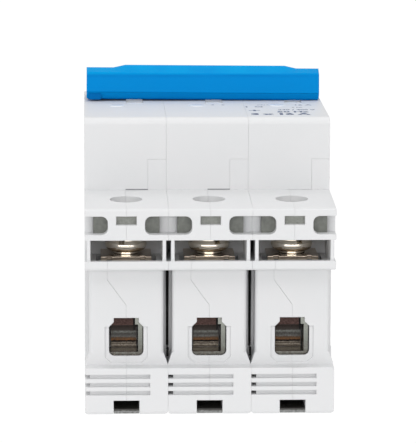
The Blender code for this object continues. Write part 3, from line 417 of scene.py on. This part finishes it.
# Dull reddish brown with darker spots.
COPPER = Finish(
    "Copper strip, oxidised", "8A6A5E", "6E5149",
    blotch_mm=0.9, roughness=0.42, roughness_play=0.10,
    metallic=1.0, grain_mm=0.2, grain_depth_mm=0.005,
)
# Grey tin at its lower end and dark copper above, flecked with black.
STRAP = Finish(
    "Copper strip, oxidised, with a tinned end", "8A6A5E", "1C1615",
    blotch_mm=0.22, roughness=0.36, roughness_play=0.12,
    metallic=1.0, grain_mm=0.15, grain_depth_mm=0.008,
    bands=((17.0, "5E5C5A"), (17.9, "3E3836"), (18.4, "5C4844"), (20.0, "54423E")),
)
# Level stripes of painted light and shade on a flat plate: bright steel and dark stripes as the painted
# highlights and shade of a curved surface, a black step as a painted shadow line, a copper seat with a
# painted glint, grey steel, and dark above.
STOP = Finish(
    "Steel strip, stamped, with a copper seat", "7A7068", "3C3632",
    blotch_mm=0.3, roughness=0.32, roughness_play=0.08,
    metallic=1.0, grain_mm=0.15, grain_depth_mm=0.006,
    bands=(
        (12.5, "B0A494"), (12.8, "4C443C"), (13.15, "B4AA9C"), (13.4, "5C544C"), (13.7, "9A9084"),
        (13.78, "0A0807"), (14.1, "0A0807"), (14.18, "7E5838"), (14.7, "5E4A3A"), (14.95, "6C6C6A"),
        (15.5, "464644"), (16.0, "7A7C78"), (16.3, "403C3A"), (17.0, "2E2826"), (18.3, "2A2422"),
    ),
    ragged_mm=0.07,
)
# Painted shade: the housing's plastic as dark as it looks at the back of a pocket.
POCKET = Finish(
    "Polyamide, injection moulded, light grey, in its shade", "787A74", "62645F",
    blotch_mm=1.3, roughness=0.4, roughness_play=0.05,
)
# Grey and half clear, so it is mottled at a small scale.
TAG = Finish(
    "Polycarbonate, injection moulded, smoked", "93958F", "83857F",
    blotch_mm=0.5, roughness=0.4, roughness_play=0.05,
)
# Painted shade: the housing's plastic as dark as it looks in a narrow gap.
SHADE = Finish(
    "Polyamide, injection moulded, grey, in a gap", "8A8C8E", "828486",
    blotch_mm=2.0, roughness=0.6, roughness_play=0.03,
    specular=0.2,
)
# Painted shade: matt and almost without light, like the depth of a slit.
DEEP_SHADE = Finish(
    "Pressboard, black", "0B0A09", "080707",
    blotch_mm=1.0, roughness=0.7, roughness_play=0.05,
    specular=0.2,
)
# Pale along its foot, and darkened step by step above it as painted shade in the clip's channel.
CLIP = Finish(
    "Polyamide, injection moulded, dark grey", "2E2C29", "1C1B19",
    blotch_mm=0.5, roughness=0.30, roughness_play=0.06,
    bands=((0.1, "A2A3A2"), (0.75, "8E8F8E"), (0.85, "4A4845"), (1.25, "262421"), (2.8, "1E1C1A")),
    ragged_mm=0.05,
)
SLOTS = {
    "housing_plastic": HOUSING,
    "toggle_plastic": TOGGLE,
    "nickel_plate": NICKEL,
    "zinc_plate": ZINC,
    "copper": COPPER,
    "clip_plastic": CLIP,
}


def clean_copy(node: str) -> bmesh.types.BMesh:
    """Copy a CAD node's mesh, with its facets merged into whole faces.

    Args:
        node: name of the CAD node.

    Returns:
        The merged copy.
    """
    bm = bmesh.new()
    bm.from_mesh(frame["nodes"][node].data)
    bmesh.ops.remove_doubles(bm, verts=bm.verts[:], dist=MERGE_DISTANCE)
    bmesh.ops.dissolve_limit(bm, angle_limit=math.radians(FLAT_BEND), verts=bm.verts[:], edges=bm.edges[:])
    return bm


@functools.cache
def tree_of(node: str) -> BVHTree:
    """Give a search tree over a CAD node's surface, made once.

    Args:
        node: name of the CAD node.

    Returns:
        The search tree.
    """
    bm = bmesh.new()
    bm.from_mesh(frame["nodes"][node].data)
    tree = BVHTree.FromBMesh(bm)
    bm.free()
    return tree


def shade_by_area(mesh: bpy.types.Mesh, sharp_angle: float) -> None:
    """Shade a mesh so that its large faces stay flat and its softened edges look round.

    A corner's normal is the sum of the normals of the faces at its vertex that bend less than the
    sharp angle from the corner's own face, each times that face's area, brought to length one.

    Args:
        mesh: mesh to shade.
        sharp_angle: largest bend in degrees that is shaded as round.
    """
    count, corners = len(mesh.polygons), len(mesh.loops)
    areas, normals = np.empty(count), np.empty(count * 3)
    sides, verts = np.empty(count, dtype=int), np.empty(corners, dtype=int)
    mesh.polygons.foreach_get("area", areas)
    mesh.polygons.foreach_get("normal", normals)
    mesh.polygons.foreach_get("loop_total", sides)
    mesh.loops.foreach_get("vertex_index", verts)
    mesh.polygons.foreach_set("use_smooth", np.ones(count, dtype=bool))
    normals = normals.reshape(-1, 3)
    faces = np.repeat(np.arange(count), sides)
    order = np.argsort(verts, kind="stable")
    starts = np.flatnonzero(np.diff(verts[order], prepend=-1))
    shading = np.empty((corners, 3))
    limit = math.cos(math.radians(sharp_angle))
    for ring in np.split(order, starts[1:]):
        around = normals[faces[ring]]
        near = around @ around.T > limit
        total = near @ (around * (areas[faces[ring]] + 1e-12)[:, None])
        shading[ring] = total / np.linalg.norm(total, axis=1, keepdims=True).clip(1e-20)
    mesh.normals_split_custom_set(shading.tolist())


@dataclass
class Piece:
    """One visible piece of the model.

    Attributes:
        name: name of the object.
        finish: its surface.
        body: CAD body that it moves with.
        sharp_angle: edges that bend more than this many degrees stay sharp in the shading.
    """

    name: str
    finish: Finish
    body: str
    sharp_angle: float = 32.0

    def show(self, mesh: bpy.types.Mesh) -> bpy.types.Object:
        """Make the object from its mesh, and let it ride on its body.

        Args:
            mesh: mesh in the frame of the part.

        Returns:
            The object.
        """
        item = bpy.data.objects.new(self.name, mesh)
        bpy.context.scene.collection.objects.link(item)
        mesh.materials.clear()
        mesh.materials.append(self.finish.material())
        shade_by_area(mesh, self.sharp_angle)
        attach(item, self.body)
        LOG.info("%s: %d faces", self.name, len(mesh.polygons))
        return item


@dataclass
class SoftCopy:
    """A copy of a CAD node with whole faces and softened edges, shown in the node's place.

    Attributes:
        node: name of the CAD node.
        finish: surface of the copy.
        radius: width of the softened edges, or zero for none.
        neighbours: nodes that may lie against this one, whose edges stay sharp there.
        longest_skipped: edges up to this length stay as they are.
        seam_plane: distance of the side face from the pole's middle, or zero where no seam is closed.
        widened: half width of a part of the node and the half width that it is shown with.
        aside: X of the widened part's middle from the pole's middle.
        grow: how far each face is moved outwards, to narrow the gap to a neighbour.
    """

    node: str
    finish: Finish
    radius: float = 0.0
    neighbours: tuple = ()
    longest_skipped: float = 0.12 * MM
    seam_plane: float = 0.0
    widened: tuple = ()
    aside: float = 0.0
    grow: float = 0.0

    def swell(self, bm: bmesh.types.BMesh) -> None:
        """Move every face outwards, but not past the whole part.

        Args:
            bm: mesh of the copy.
        """
        low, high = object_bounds()
        bm.normal_update()
        moves = [vert.normal * min(vert.calc_shell_factor(), CORNER_LIMIT) * self.grow for vert in bm.verts]
        for vert, move in zip(bm.verts, moves):
            vert.co = [min(max(place, least), most) for place, least, most in zip(vert.co + move, low, high)]

    def widen(self, bm: bmesh.types.BMesh) -> None:
        """Show a tongue as wide as its channel.

        Args:
            bm: mesh of the copy.
        """
        centre = pole_centre(int(self.node[-1])) + self.aside
        half, shown = self.widened
        for vert in bm.verts:
            aside = vert.co.x - centre
            if abs(abs(aside) - half) < SEAM_BAND:
                vert.co.x = centre + math.copysign(shown, aside)

    def close_seam(self, bm: bmesh.types.BMesh) -> None:
        """Bring the side faces nearer to the next pole's, as far as they lie inside the whole part.

        Args:
            bm: mesh of the copy.
        """
        centre = pole_centre(int(self.node[-1]))
        low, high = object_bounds()
        for vert in bm.verts:
            aside = vert.co.x - centre
            if abs(abs(aside) - self.seam_plane) > SEAM_BAND:
                continue
            reach = centre + math.copysign(POLE_PITCH / 2 - SEAM_GAP / 2, aside)
            vert.co.x = min(max(reach, low[0]), high[0])

    def soften(self, mesh: bpy.types.Mesh) -> bpy.types.Mesh:
        """Bevel the outer edges by their weight.

        Args:
            mesh: mesh whose edges carry their bevel weight.

        Returns:
            The bevelled mesh.
        """
        guide = bpy.data.objects.new("guide", mesh)
        bpy.context.scene.collection.objects.link(guide)
        bevel = guide.modifiers.new("soften", "BEVEL")
        bevel.limit_method = "WEIGHT"
        bevel.width = self.radius
        bevel.segments = 2
        bevel.use_clamp_overlap = False
        bpy.context.view_layer.update()
        soft = bpy.data.meshes.new_from_object(guide.evaluated_get(bpy.context.evaluated_depsgraph_get()))
        bpy.data.objects.remove(guide, do_unlink=True)
        return soft

    def weigh_edges(self, bm: bmesh.types.BMesh) -> None:
        """Give each outer edge a bevel weight of one, or of zero where a neighbour lies against it.

        Args:
            bm: mesh of the copy.
        """
        layer = bm.edges.layers.float.new("bevel_weight_edge")
        near = [tree_of(name) for name in self.neighbours]
        for edge in bm.edges:
            if len(edge.link_faces) != 2 or edge.calc_length() < self.longest_skipped or not edge.is_convex:
                continue
            if edge.calc_face_angle() < math.radians(SOFTENED_BEND):
                continue
            middle = (edge.verts[0].co + edge.verts[1].co) / 2
            touched = any(tree.find_nearest(middle, SEAM_SEARCH)[0] is not None for tree in near)
            edge[layer] = 0.0 if touched else 1.0

    def build(self) -> bpy.types.Object:
        """Make the copy and put it in the node's place.

        Returns:
            The copy's object.
        """
        bm = clean_copy(self.node)
        if self.radius:
            self.weigh_edges(bm)
        if self.grow:
            self.swell(bm)
        if self.seam_plane:
            self.close_seam(bm)
        if self.widened:
            self.widen(bm)
        mesh = bpy.data.meshes.new(self.node + "_finished")
        bm.to_mesh(mesh)
        bm.free()
        if self.radius:
            mesh = self.soften(mesh)
        item = Piece(self.node + "_finished", self.finish, frame["nodes"][self.node]["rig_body"]).show(mesh)
        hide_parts(self.node)
        return item


def round_off(points: list[tuple[float, float]], passes: int) -> list[tuple[float, float]]:
    """Cut the corners of an open line again and again, which rounds them (Chaikin's way).

    Args:
        points: corners of the line; its two ends stay.
        passes: how many times to cut.

    Returns:
        The rounded line.
    """
    for _ in range(passes):
        cut = [points[0]]
        for (a, b), (c, d) in zip(points, points[1:]):
            cut += [(0.75 * a + 0.25 * c, 0.75 * b + 0.25 * d), (0.25 * a + 0.75 * c, 0.25 * b + 0.75 * d)]
        points = cut + [points[-1]]
    return points


def revolve(name: str, profile: list[tuple[float, float]], sides: int) -> bpy.types.Mesh:
    """Turn a profile about Z into a closed solid whose faces point outwards.

    The point of row i and step j has the radius and height of the profile's point i, at j / sides of a
    full turn. Faces join each row to the next, and the first and last rows to a point on the axis.

    Args:
        name: name of the mesh.
        profile: points of (radius, height) from the top of the axis to its foot, both ends on the axis.
        sides: number of steps round the axis.

    Returns:
        The solid.
    """
    radii, heights = np.array(profile[1:-1]).T
    angles = np.linspace(0, 2 * math.pi, sides, endpoint=False)
    across, along = np.outer(radii, np.cos(angles)), np.outer(radii, np.sin(angles))
    rows = np.stack((across, along, np.outer(heights, np.ones(sides))), axis=-1)
    tips = [(0.0, 0.0, profile[0][1]), (0.0, 0.0, profile[-1][1])]
    points = np.vstack((rows.reshape(-1, 3), tips))
    crown, foot = len(points) - 2, len(points) - 1
    here = np.arange(sides)
    after = (here + 1) % sides
    upper = np.arange(len(radii) - 1) * sides
    corners = ((here, upper), (here, upper + sides), (after, upper + sides), (after, upper))
    walls = np.stack([np.add.outer(step, row) for step, row in corners], axis=-1).tolist()
    last = (len(radii) - 1) * sides
    top = np.stack((np.full(sides, crown), here, after), axis=-1).tolist()
    base = np.stack((np.full(sides, foot), last + after, last + here), axis=-1).tolist()
    faces = [face for lid, sole, wall in zip(top, base, walls) for face in (lid, sole, *wall)]
    mesh = bpy.data.meshes.new(name)
    mesh.from_pydata(points.tolist(), [], faces)
    return mesh


def scratch_box(name: str, half: tuple, middle: tuple) -> bpy.types.Object:
    """Make a scratch box.

    Args:
        name: its name.
        half: half of its size along each axis.
        middle: its middle.

    Returns:
        The box.
    """
    bm = bmesh.new()
    bmesh.ops.create_cube(bm, size=2.0)
    bmesh.ops.scale(bm, vec=half, verts=bm.verts[:])
    bmesh.ops.translate(bm, vec=middle, verts=bm.verts[:])
    mesh = bpy.data.meshes.new(name)
    bm.to_mesh(mesh)
    bm.free()
    item = bpy.data.objects.new(name, mesh)
    bpy.context.scene.collection.objects.link(item)
    return item


def baked(item: bpy.types.Object) -> bpy.types.Mesh:
    """Give the mesh that an object's modifiers make, and remove the object.

    Args:
        item: scratch object.

    Returns:
        The finished mesh.
    """
    bpy.context.view_layer.update()
    mesh = bpy.data.meshes.new_from_object(item.evaluated_get(bpy.context.evaluated_depsgraph_get()))
    bpy.data.objects.remove(item, do_unlink=True)
    return mesh


@dataclass(frozen=True)
class Screw:
    """A terminal screw as it is cold headed, rolled and plated, at the size of its CAD node.

    Attributes:
        head: height of the head.
        slot: half of the slot's width.
        arm: half of the cross recess's length.
        deep: depth of the slot.
        collar: radius of the collar under the head.
        shank: radius of the thread's crests.
        thread_pitch: pitch of the thread.
        thread_depth: depth of the thread.
        tumbled_edge: width of the edges that tumbling rounds.
        tumbled_bend: bend in degrees from which an edge is rounded.
        sides: steps round the head.
        outline: points of the head as shares of its radius and height, from its crown down.
    """

    head: float = 3.4 * MM
    slot: float = 0.6 * MM
    arm: float = 2.7 * MM
    deep: float = 1.3 * MM
    collar: float = 2.7 * MM
    shank: float = 2.4 * MM
    thread_pitch: float = 0.8 * MM
    thread_depth: float = 0.25 * MM
    tumbled_edge: float = 0.09 * MM
    tumbled_bend: float = 50.0
    sides: int = 96
    outline: tuple = ((0.0, 1.0), (0.46, 1.0), (0.74, 0.90), (1.0, 0.66), (1.0, 0.34), (0.86, 0.12))

    def profile(self, radius: float, length: float) -> list[tuple[float, float]]:
        """Give the turned outline, with its foot at zero height.

        The thread is a row of rings, four to a turn of its pitch, two at its crests and two at its roots.

        Args:
            radius: radius of the head.
            length: whole length of the screw.

        Returns:
            Points of (radius, height) from the crown to the foot.
        """
        seat = length - self.head
        top = [(share * radius, seat + rise * self.head) for share, rise in self.outline]
        top.append((self.collar, seat + 0.05 * self.head))
        under = [(self.collar, seat), (self.collar, seat - 0.15 * MM), (self.shank, seat - 0.2 * MM)]
        rows = int((seat - 1.0 * MM) / (self.thread_pitch / 4))
        steps = [seat - 0.3 * MM - row * self.thread_pitch / 4 for row in range(rows)]
        thread = [(self.shank - self.thread_depth * (row % 4 in (1, 2)), z) for row, z in enumerate(steps)]
        return round_off(top, 3) + under + thread + [(0.6 * self.shank, 0.0), (0.0, 0.0)]

    def mesh(self, radius: float, length: float) -> bpy.types.Mesh:
        """Turn the screw, and cut its slot and cross recess.

        Args:
            radius: radius of the head.
            length: whole length of the screw.

        Returns:
            The finished mesh, standing on its foot.
        """
        item = bpy.data.objects.new("blank", revolve("blank", self.profile(radius, length), self.sides))
        bpy.context.scene.collection.objects.link(item)
        floor = length - self.deep
        reach = 2 * self.head
        cutters = [
            scratch_box("slot", (2 * radius, self.slot, reach / 2), (0, 0, floor + reach / 2)),
            scratch_box("cross", (self.slot, self.arm, reach / 2), (0, 0, floor + reach / 2)),
        ]
        for cutter in cutters:
            saw = item.modifiers.new(cutter.name, "BOOLEAN")
            saw.operation = "DIFFERENCE"
            saw.solver = "EXACT"
            saw.object = cutter
        edge = item.modifiers.new("tumbled edges", "BEVEL")
        edge.width = self.tumbled_edge
        edge.segments = 2
        edge.angle_limit = math.radians(self.tumbled_bend)
        mesh = baked(item)
        for cutter in cutters:
            bpy.data.objects.remove(cutter, do_unlink=True)
        return mesh

    def build(self, pole: int, end: End) -> bpy.types.Object:
        """Make one screw and put it in its CAD node's place.

        Args:
            pole: 1 for the left pole.
            end: the end that it stands at.

        Returns:
            The screw's object.
        """
        node = f"{end.word}_screw_{pole}"
        corners = np.array([vert.co for vert in frame["nodes"][node].data.vertices])
        low, high = corners.min(axis=0), corners.max(axis=0)
        middle = (low + high) / 2
        mesh = self.mesh(float(high[0] - low[0]) / 2, float(high[2] - low[2]))
        turn = math.radians(SCREW_TURNS[pole] + (180 if end is End.LOAD else 0))
        place = Matrix.Translation((middle[0], middle[1], low[2]))
        mesh.transform(place @ Matrix.Rotation(turn, 4, "Z"))
        item = Piece(node + "_finished", NICKEL, frame["nodes"][node]["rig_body"]).show(mesh)
        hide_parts(node)
        return item


@dataclass(frozen=True)
class Indicator:
    """The white contact indicator in a pole's front face: a low, glossy oval disc.

    Attributes:
        aside: X of its middle from the pole's middle.
        along: Y of its middle.
        half_width: half of its size along X.
        half_length: half of its size along Y.
        rise: height above the front face.
        sunk: depth below the front face.
        sides: steps round the disc.
    """

    aside: float = -1.55 * MM
    along: float = -2.9 * MM
    half_width: float = 1.75 * MM
    half_length: float = 2.0 * MM
    rise: float = 0.12 * MM
    sunk: float = 0.3 * MM
    sides: int = 48

    def build(self, pole: int, front: float) -> bpy.types.Object:
        """Make one disc on the front face.

        Args:
            pole: 1 for the left pole.
            front: height of the front face.

        Returns:
            The disc's object.
        """
        crown = [(0.0, self.rise), (0.72, 0.9 * self.rise), (1.0, 0.35 * self.rise), (1.0, -self.sunk)]
        mesh = revolve("indicator", round_off(crown, 2) + [(0.0, -self.sunk)], self.sides)
        mesh.transform(Matrix.Diagonal((self.half_width, self.half_length, 1, 1)))
        mesh.transform(Matrix.Translation((pole_centre(pole) + self.aside, self.along, front)))
        return Piece(f"indicator_{pole}", INDICATOR, "housing").show(mesh)


@dataclass(frozen=True)
class Print:
    """A plain mark in ink on the front face.

    Attributes:
        name: name of the piece.
        words: the mark.
        size: height of a capital letter along Y.
        left: X of its left end.
        near: Y of its base line.
        stretch: width of the letters against their height.
        bold: how much each stroke is thickened.
    """

    name: str
    words: str
    size: float
    left: float
    near: float
    stretch: float = 1.0
    bold: float = 0.0

    def build(self, front: float) -> bpy.types.Object:
        """Lay the ink on the front face.

        Args:
            front: height of the front face.

        Returns:
            The mark's object.
        """
        curve = bpy.data.curves.new(self.name, "FONT")
        curve.body = self.words
        curve.size = self.size / CAPITAL_SHARE
        curve.extrude = INK_THICKNESS / 2
        curve.offset = self.bold
        curve.resolution_u = 2
        item = bpy.data.objects.new(self.name + "_guide", curve)
        bpy.context.scene.collection.objects.link(item)
        mesh = baked(item)
        mesh.transform(Matrix.Diagonal((self.stretch, 1, 1, 1)))
        mesh.transform(Matrix.Translation((self.left, self.near, front + INK_THICKNESS / 2)))
        return Piece(self.name, INK, "housing").show(mesh)


@dataclass(frozen=True)
class Slip:
    """A thin, flat piece that is set into a pole.

    Attributes:
        word: what it is.
        finish: its surface.
        left: X of its left side from the pole's middle.
        right: X of its right side from the pole's middle.
        near: Y of the side that faces out.
        far: Y of the side that faces in.
        low: height of its foot.
        high: height of its top.
        body: CAD body that it moves with.
    """

    word: str
    finish: Finish
    left: float
    right: float
    near: float
    far: float
    low: float
    high: float
    body: str = "housing"

    def build(self, pole: int, end: End = End.LINE) -> bpy.types.Object:
        """Make the piece in one pole, mirrored in X and Y at the load end.

        Args:
            pole: 1 for the left pole.
            end: the end that it lies at.

        Returns:
            The piece's object.
        """
        sign = -end.value
        across = sorted((sign * self.left, sign * self.right))
        along = sorted((sign * self.near, sign * self.far))
        half = tuple((high - low) / 2 for low, high in (across, along, (self.low, self.high)))
        middle = (pole_centre(pole) + sum(across) / 2, sum(along) / 2, (self.low + self.high) / 2)
        mesh = baked(scratch_box("slip", half, middle))
        return Piece(f"{self.word}_{end.word}_{pole}", self.finish, self.body).show(mesh)


# A flat plate at the back of the cable room, painted with the highlights and shadow lines of a curved stop.
STOP_FACE = Slip("cable_stop_face", STOP, -3.2 * MM, 2.2 * MM, -30.7 * MM, -30.5 * MM, 12.65 * MM, 18.25 * MM)
# Black sheets in the cage's slit and at its foot, painted with the shade of the slit's depth.
SLIT = Slip("cage_slit", DEEP_SHADE, 1.52 * MM, 1.83 * MM, -35.2 * MM, -34.9 * MM, 17.2 * MM, 20.6 * MM)
SLIT_FOOT = Slip("cage_slit_foot", DEEP_SHADE, 1.83 * MM, 2.6 * MM, -34.5 * MM, -34.3 * MM, 18.05 * MM, 18.38 * MM)
APRON = Slip("slot_apron", HOUSING, 0.25 * MM, 4.55 * MM, -1.9 * MM, 0.15 * MM, 60.42 * MM, 60.62 * MM)
# Black strips deep in the gaps between poles, painted with the shade of the gaps' depth.
GAP_SHADE = Slip("gap_liner", DEEP_SHADE, 8.48 * MM, 9.02 * MM, -31.4 * MM, -31.2 * MM, 13.2 * MM, 31.0 * MM)
# Grey sheets at the back of the pockets, painted with the shade of their depth.
POCKETS = tuple(
    Slip(f"pocket_back_{side}", POCKET, *across, -40.3 * MM, -40.1 * MM, 38.95 * MM, 42.75 * MM)
    for side, across in (("left", (-6.9 * MM, -3.9 * MM)), ("right", (3.9 * MM, 6.9 * MM)))
)
# A thin dark blue sheet at the bar's notch, painted with the notch's shade.
BAR_NOTCH = Slip(
    "bar_notch", NOTCH, -7.7 * MM, -5.05 * MM, 3.77 * MM, 3.9 * MM, 61.05 * MM, 62.4 * MM, body="toggle"
)
# The same painted gap shade at the gap's foot.
GAP_FOOT = Slip("gap_liner_foot", DEEP_SHADE, 8.48 * MM, 9.02 * MM, -34.0 * MM, -33.9 * MM, 11.3 * MM, 13.3 * MM)
# A grey strip along the wall's foot, painted with the shadow of the parting line there.
WALL_FOOT = Slip(
    "wall_foot_line", SHADE, 0.1 * MM, 4.85 * MM, -22.56 * MM, -22.4 * MM, 45.12 * MM, 45.32 * MM
)
TAG_BACK = Slip("tag_back", TAG, -2.15 * MM, 2.15 * MM, -41.3 * MM, -41.1 * MM, 40.9 * MM, 42.75 * MM)
PRINTS = (
    Print("print_terminals_2", "1   3   5", 0.9 * MM, -0.9 * MM, -2.6 * MM, 1.35, 0.03 * MM),
    Print("print_switch_3", "I  O", 1.3 * MM, 8.9 * MM, -6.2 * MM, 1.3, 0.05 * MM),
    Print("print_shape_3", "+", 2.6 * MM, 9.2 * MM, -12.6 * MM, 1.3, 0.05 * MM),
    Print("print_state_3", "ON OFF", 0.7 * MM, 11.6 * MM, -2.9 * MM, 1.1, 0.02 * MM),
    Print("print_current_3", "16 A", 1.0 * MM, 19.6 * MM, -3.2 * MM, 1.4, 0.03 * MM),
    Print("print_frequency_3", "6 kA", 0.8 * MM, 19.0 * MM, -6.9 * MM, 1.05, 0.02 * MM),
    Print("print_voltage_3", "230 / 400 V", 1.3 * MM, 15.8 * MM, -10.9 * MM, 0.9, 0.05 * MM),
    Print("print_number_3", "50 Hz", 1.9 * MM, 15.4 * MM, -14.4 * MM, 1.0, 0.10 * MM),
    Print("print_row_3", "3 x 16 A", 2.3 * MM, 9.6 * MM, -18.0 * MM, 1.08, 0.16 * MM),
)


@dataclass(frozen=True)
class Dressing:
    """How the CAD nodes of one kind are shown.

    Attributes:
        mark: part of the name that these nodes share.
        finish: their surface.
        edge: width of their softened edges, or zero for none.
        widened: half width of a part of the node and the half width that it is shown with.
        aside: X of the widened part's middle from the pole's middle.
    """

    mark: str
    finish: Finish
    edge: float = 0.0
    widened: tuple = ()
    aside: float = 0.0

    def build(self, node: str) -> bpy.types.Object:
        """Show one node in this way.

        Args:
            node: name of the CAD node.

        Returns:
            The object that stands for the node.
        """
        return SoftCopy(node, self.finish, self.edge, widened=self.widened, aside=self.aside).build()


DRESSINGS = (
    Dressing("_clamp_plate_", PLATE, 0.12 * MM),
    Dressing("toggle_bar", TOGGLE, 0.30 * MM),
    Dressing("_strap_", STRAP, 0.10 * MM),
    Dressing("_cage_", CAGE, 0.10 * MM),
    Dressing("toggle_lever_", LEVER, widened=(LEVER_HALF, LEVER_HALF_SEEN), aside=LEVER_PLACE),
    Dressing("_rail_clip_", CLIP, widened=(CLIP_HALF, CLIP_HALF_SEEN)),
)


@dataclass(frozen=True)
class Studio:
    """White sweep, soft boxes and the camera that took the photo.

    Attributes:
        focal_pixels: lens length in pixels of the photo.
        long_side: height of the photo in pixels.
        sensor: long side of the sensor in millimetres.
        pitch: how far the camera looks down, in degrees.
        yaw: how far the camera looks to the right, in degrees.
        roll: turn of the picture, in degrees.
        place: where the camera stands.
        horizon: strength of the room's light from the side.
        zenith: strength of the room's light from above.
        right_loss: how much weaker the light is from the right.
    """

    focal_pixels: float = 3154
    long_side: float = 443
    sensor: float = 36
    pitch: float = 9.92
    yaw: float = 2.25
    roll: float = 0.18
    place: tuple[float, float, float] = (-25.9 * MM, -686.9 * MM, 154.5 * MM)
    horizon: float = 0.12
    zenith: float = 1.48
    right_loss: float = 0.10

    def camera(self) -> None:
        """Stand the camera where the photo was taken."""
        pitch, yaw = math.radians(self.pitch), math.radians(self.yaw)
        look = Vector((math.sin(yaw) * math.cos(pitch), math.cos(yaw) * math.cos(pitch), -math.sin(pitch)))
        data = bpy.data.cameras.new("camera")
        data.lens = self.focal_pixels * self.sensor / self.long_side
        data.sensor_width = self.sensor
        data.clip_start = 0.05
        data.clip_end = 20
        item = bpy.data.objects.new("camera", data)
        bpy.context.scene.collection.objects.link(item)
        right = Vector((math.cos(yaw), -math.sin(yaw), 0))
        up = right.cross(look)
        roll = math.radians(self.roll)
        right, up = right * math.cos(roll) + up * math.sin(roll), up * math.cos(roll) - right * math.sin(roll)
        turn = Matrix((right, up, -look)).transposed().to_4x4()
        item.matrix_world = Matrix.Translation(self.place) @ turn
        bpy.context.scene.camera = item

    def soft_box(self, name: str, place: tuple, aim: tuple, size: tuple, power: float) -> None:
        """Hang one rectangular light.

        Args:
            name: name of the light.
            place: where it hangs.
            aim: point that it faces.
            size: width and height.
            power: watts.
        """
        data = bpy.data.lights.new(name, "AREA")
        data.shape = "RECTANGLE"
        data.size, data.size_y = size
        data.energy = power
        item = bpy.data.objects.new(name, data)
        item.location = place
        item.rotation_euler = (Vector(aim) - Vector(place)).to_track_quat("-Z", "Y").to_euler()
        bpy.context.scene.collection.objects.link(item)

    def floor(self) -> None:
        """Lay a white, lit table that goes on past the picture."""
        bm = bmesh.new()
        bmesh.ops.create_grid(bm, x_segments=1, y_segments=1, size=6.0)
        mesh = bpy.data.meshes.new("table")
        bm.to_mesh(mesh)
        bm.free()
        item = bpy.data.objects.new("table", mesh)
        material = bpy.data.materials.new("Acrylic sheet, white, lit from below")
        material.use_nodes = True
        shader = material.node_tree.nodes["Principled BSDF"]
        shader.inputs["Base Color"].default_value = (0.02, 0.02, 0.02, 1)
        shader.inputs["Roughness"].default_value = 0.9
        shader.inputs["Specular IOR Level"].default_value = 0.0
        shader.inputs["Emission Color"].default_value = (1, 1, 1, 1)
        shader.inputs["Emission Strength"].default_value = 1.0
        mesh.materials.append(material)
        bpy.context.scene.collection.objects.link(item)
        item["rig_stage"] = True

    def world(self) -> None:
        """Fill the room with white light that is stronger from above and a little weaker from the right."""
        world = bpy.data.worlds.new("studio")
        world.use_nodes = True
        graph = Graph(world.node_tree)
        way = graph.add("TexCoord").outputs["Generated"]
        axes = graph.add("SeparateXYZ", {"Vector": way})
        rise = graph.add("Math", {0: axes.outputs["Z"], 1: 0.0}, operation="MAXIMUM").outputs["Value"]
        sky = graph.add(
            "Math", {0: rise, 1: self.zenith - self.horizon, 2: self.horizon}, operation="MULTIPLY_ADD"
        )
        room = graph.add(
            "Math",
            {0: axes.outputs["X"], 1: -self.right_loss, 2: sky.outputs["Value"]},
            operation="MULTIPLY_ADD",
        )
        light = graph.add("Math", {0: room.outputs["Value"], 1: 0.0}, operation="MAXIMUM")
        background = world.node_tree.nodes["Background"]
        background.inputs["Color"].default_value = (1, 1, 1, 1)
        world.node_tree.links.new(light.outputs["Value"], background.inputs["Strength"])
        bpy.context.scene.world = world

    def build(self) -> None:
        """Put up the whole studio."""
        self.camera()
        self.floor()
        self.world()
        target = (0.0, -30 * MM, 35 * MM)
        self.soft_box("key", place=(0.0, -1.0, 0.8), aim=target, size=(0.9, 0.4), power=1.5)
        self.soft_box("front", place=(-0.1, -1.1, 0.27), aim=target, size=(2.2, 0.16), power=4.6)
        scene = bpy.context.scene
        scene.view_settings.view_transform = "Standard"
        scene.view_settings.look = "None"
        scene.render.film_transparent = False


def dress(node: str, slot: str) -> bpy.types.Object:
    """Show one CAD node with its finish.

    Args:
        node: name of the CAD node.
        slot: material slot that the record gives it.

    Returns:
        The object that stands for the node.
    """
    if node in HOUSINGS:
        others = tuple(name for name in HOUSINGS if name != node)
        return SoftCopy(
            node, HOUSING, HOUSING_EDGE, others, seam_plane=POLE_HALF, grow=HOUSING_GROWTH
        ).build()
    if "_screw_" in node:
        end, _, pole = node.split("_")
        return Screw().build(int(pole), End[end.upper()])
    for dressing in DRESSINGS:
        if dressing.mark in node:
            return dressing.build(node)
    return SoftCopy(node, SLOTS[slot]).build()


def set_in(front: float) -> None:
    """Add the small pieces that lie in and on the poles.

    Args:
        front: height of the front face.
    """
    for pole in POLES:
        Indicator().build(pole, front)
        APRON.build(pole)
        for end in End:
            for slip in (STOP_FACE, SLIT, SLIT_FOOT, *POCKETS, TAG_BACK):
                slip.build(pole, end)
        if pole < POLES[-1]:
            for slip in (GAP_SHADE, GAP_FOOT):
                slip.build(pole, End.LINE)
                slip.build(pole + 1, End.LOAD)
            WALL_FOOT.build(pole)
    BAR_NOTCH.build(POLES[0])
    for mark in PRINTS:
        mark.build(front)


def main() -> None:
    """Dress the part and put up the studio."""
    logging.basicConfig(level=logging.INFO, format="%(message)s")
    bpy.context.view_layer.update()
    for entry in frame["record"]["subparts"]:
        dress(entry["node"], entry["material_slot"])
    set_in(max(vert.co.z for vert in frame["nodes"]["case_1"].data.vertices))
    Studio().build()
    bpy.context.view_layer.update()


if __name__ == "__main__":
    main()
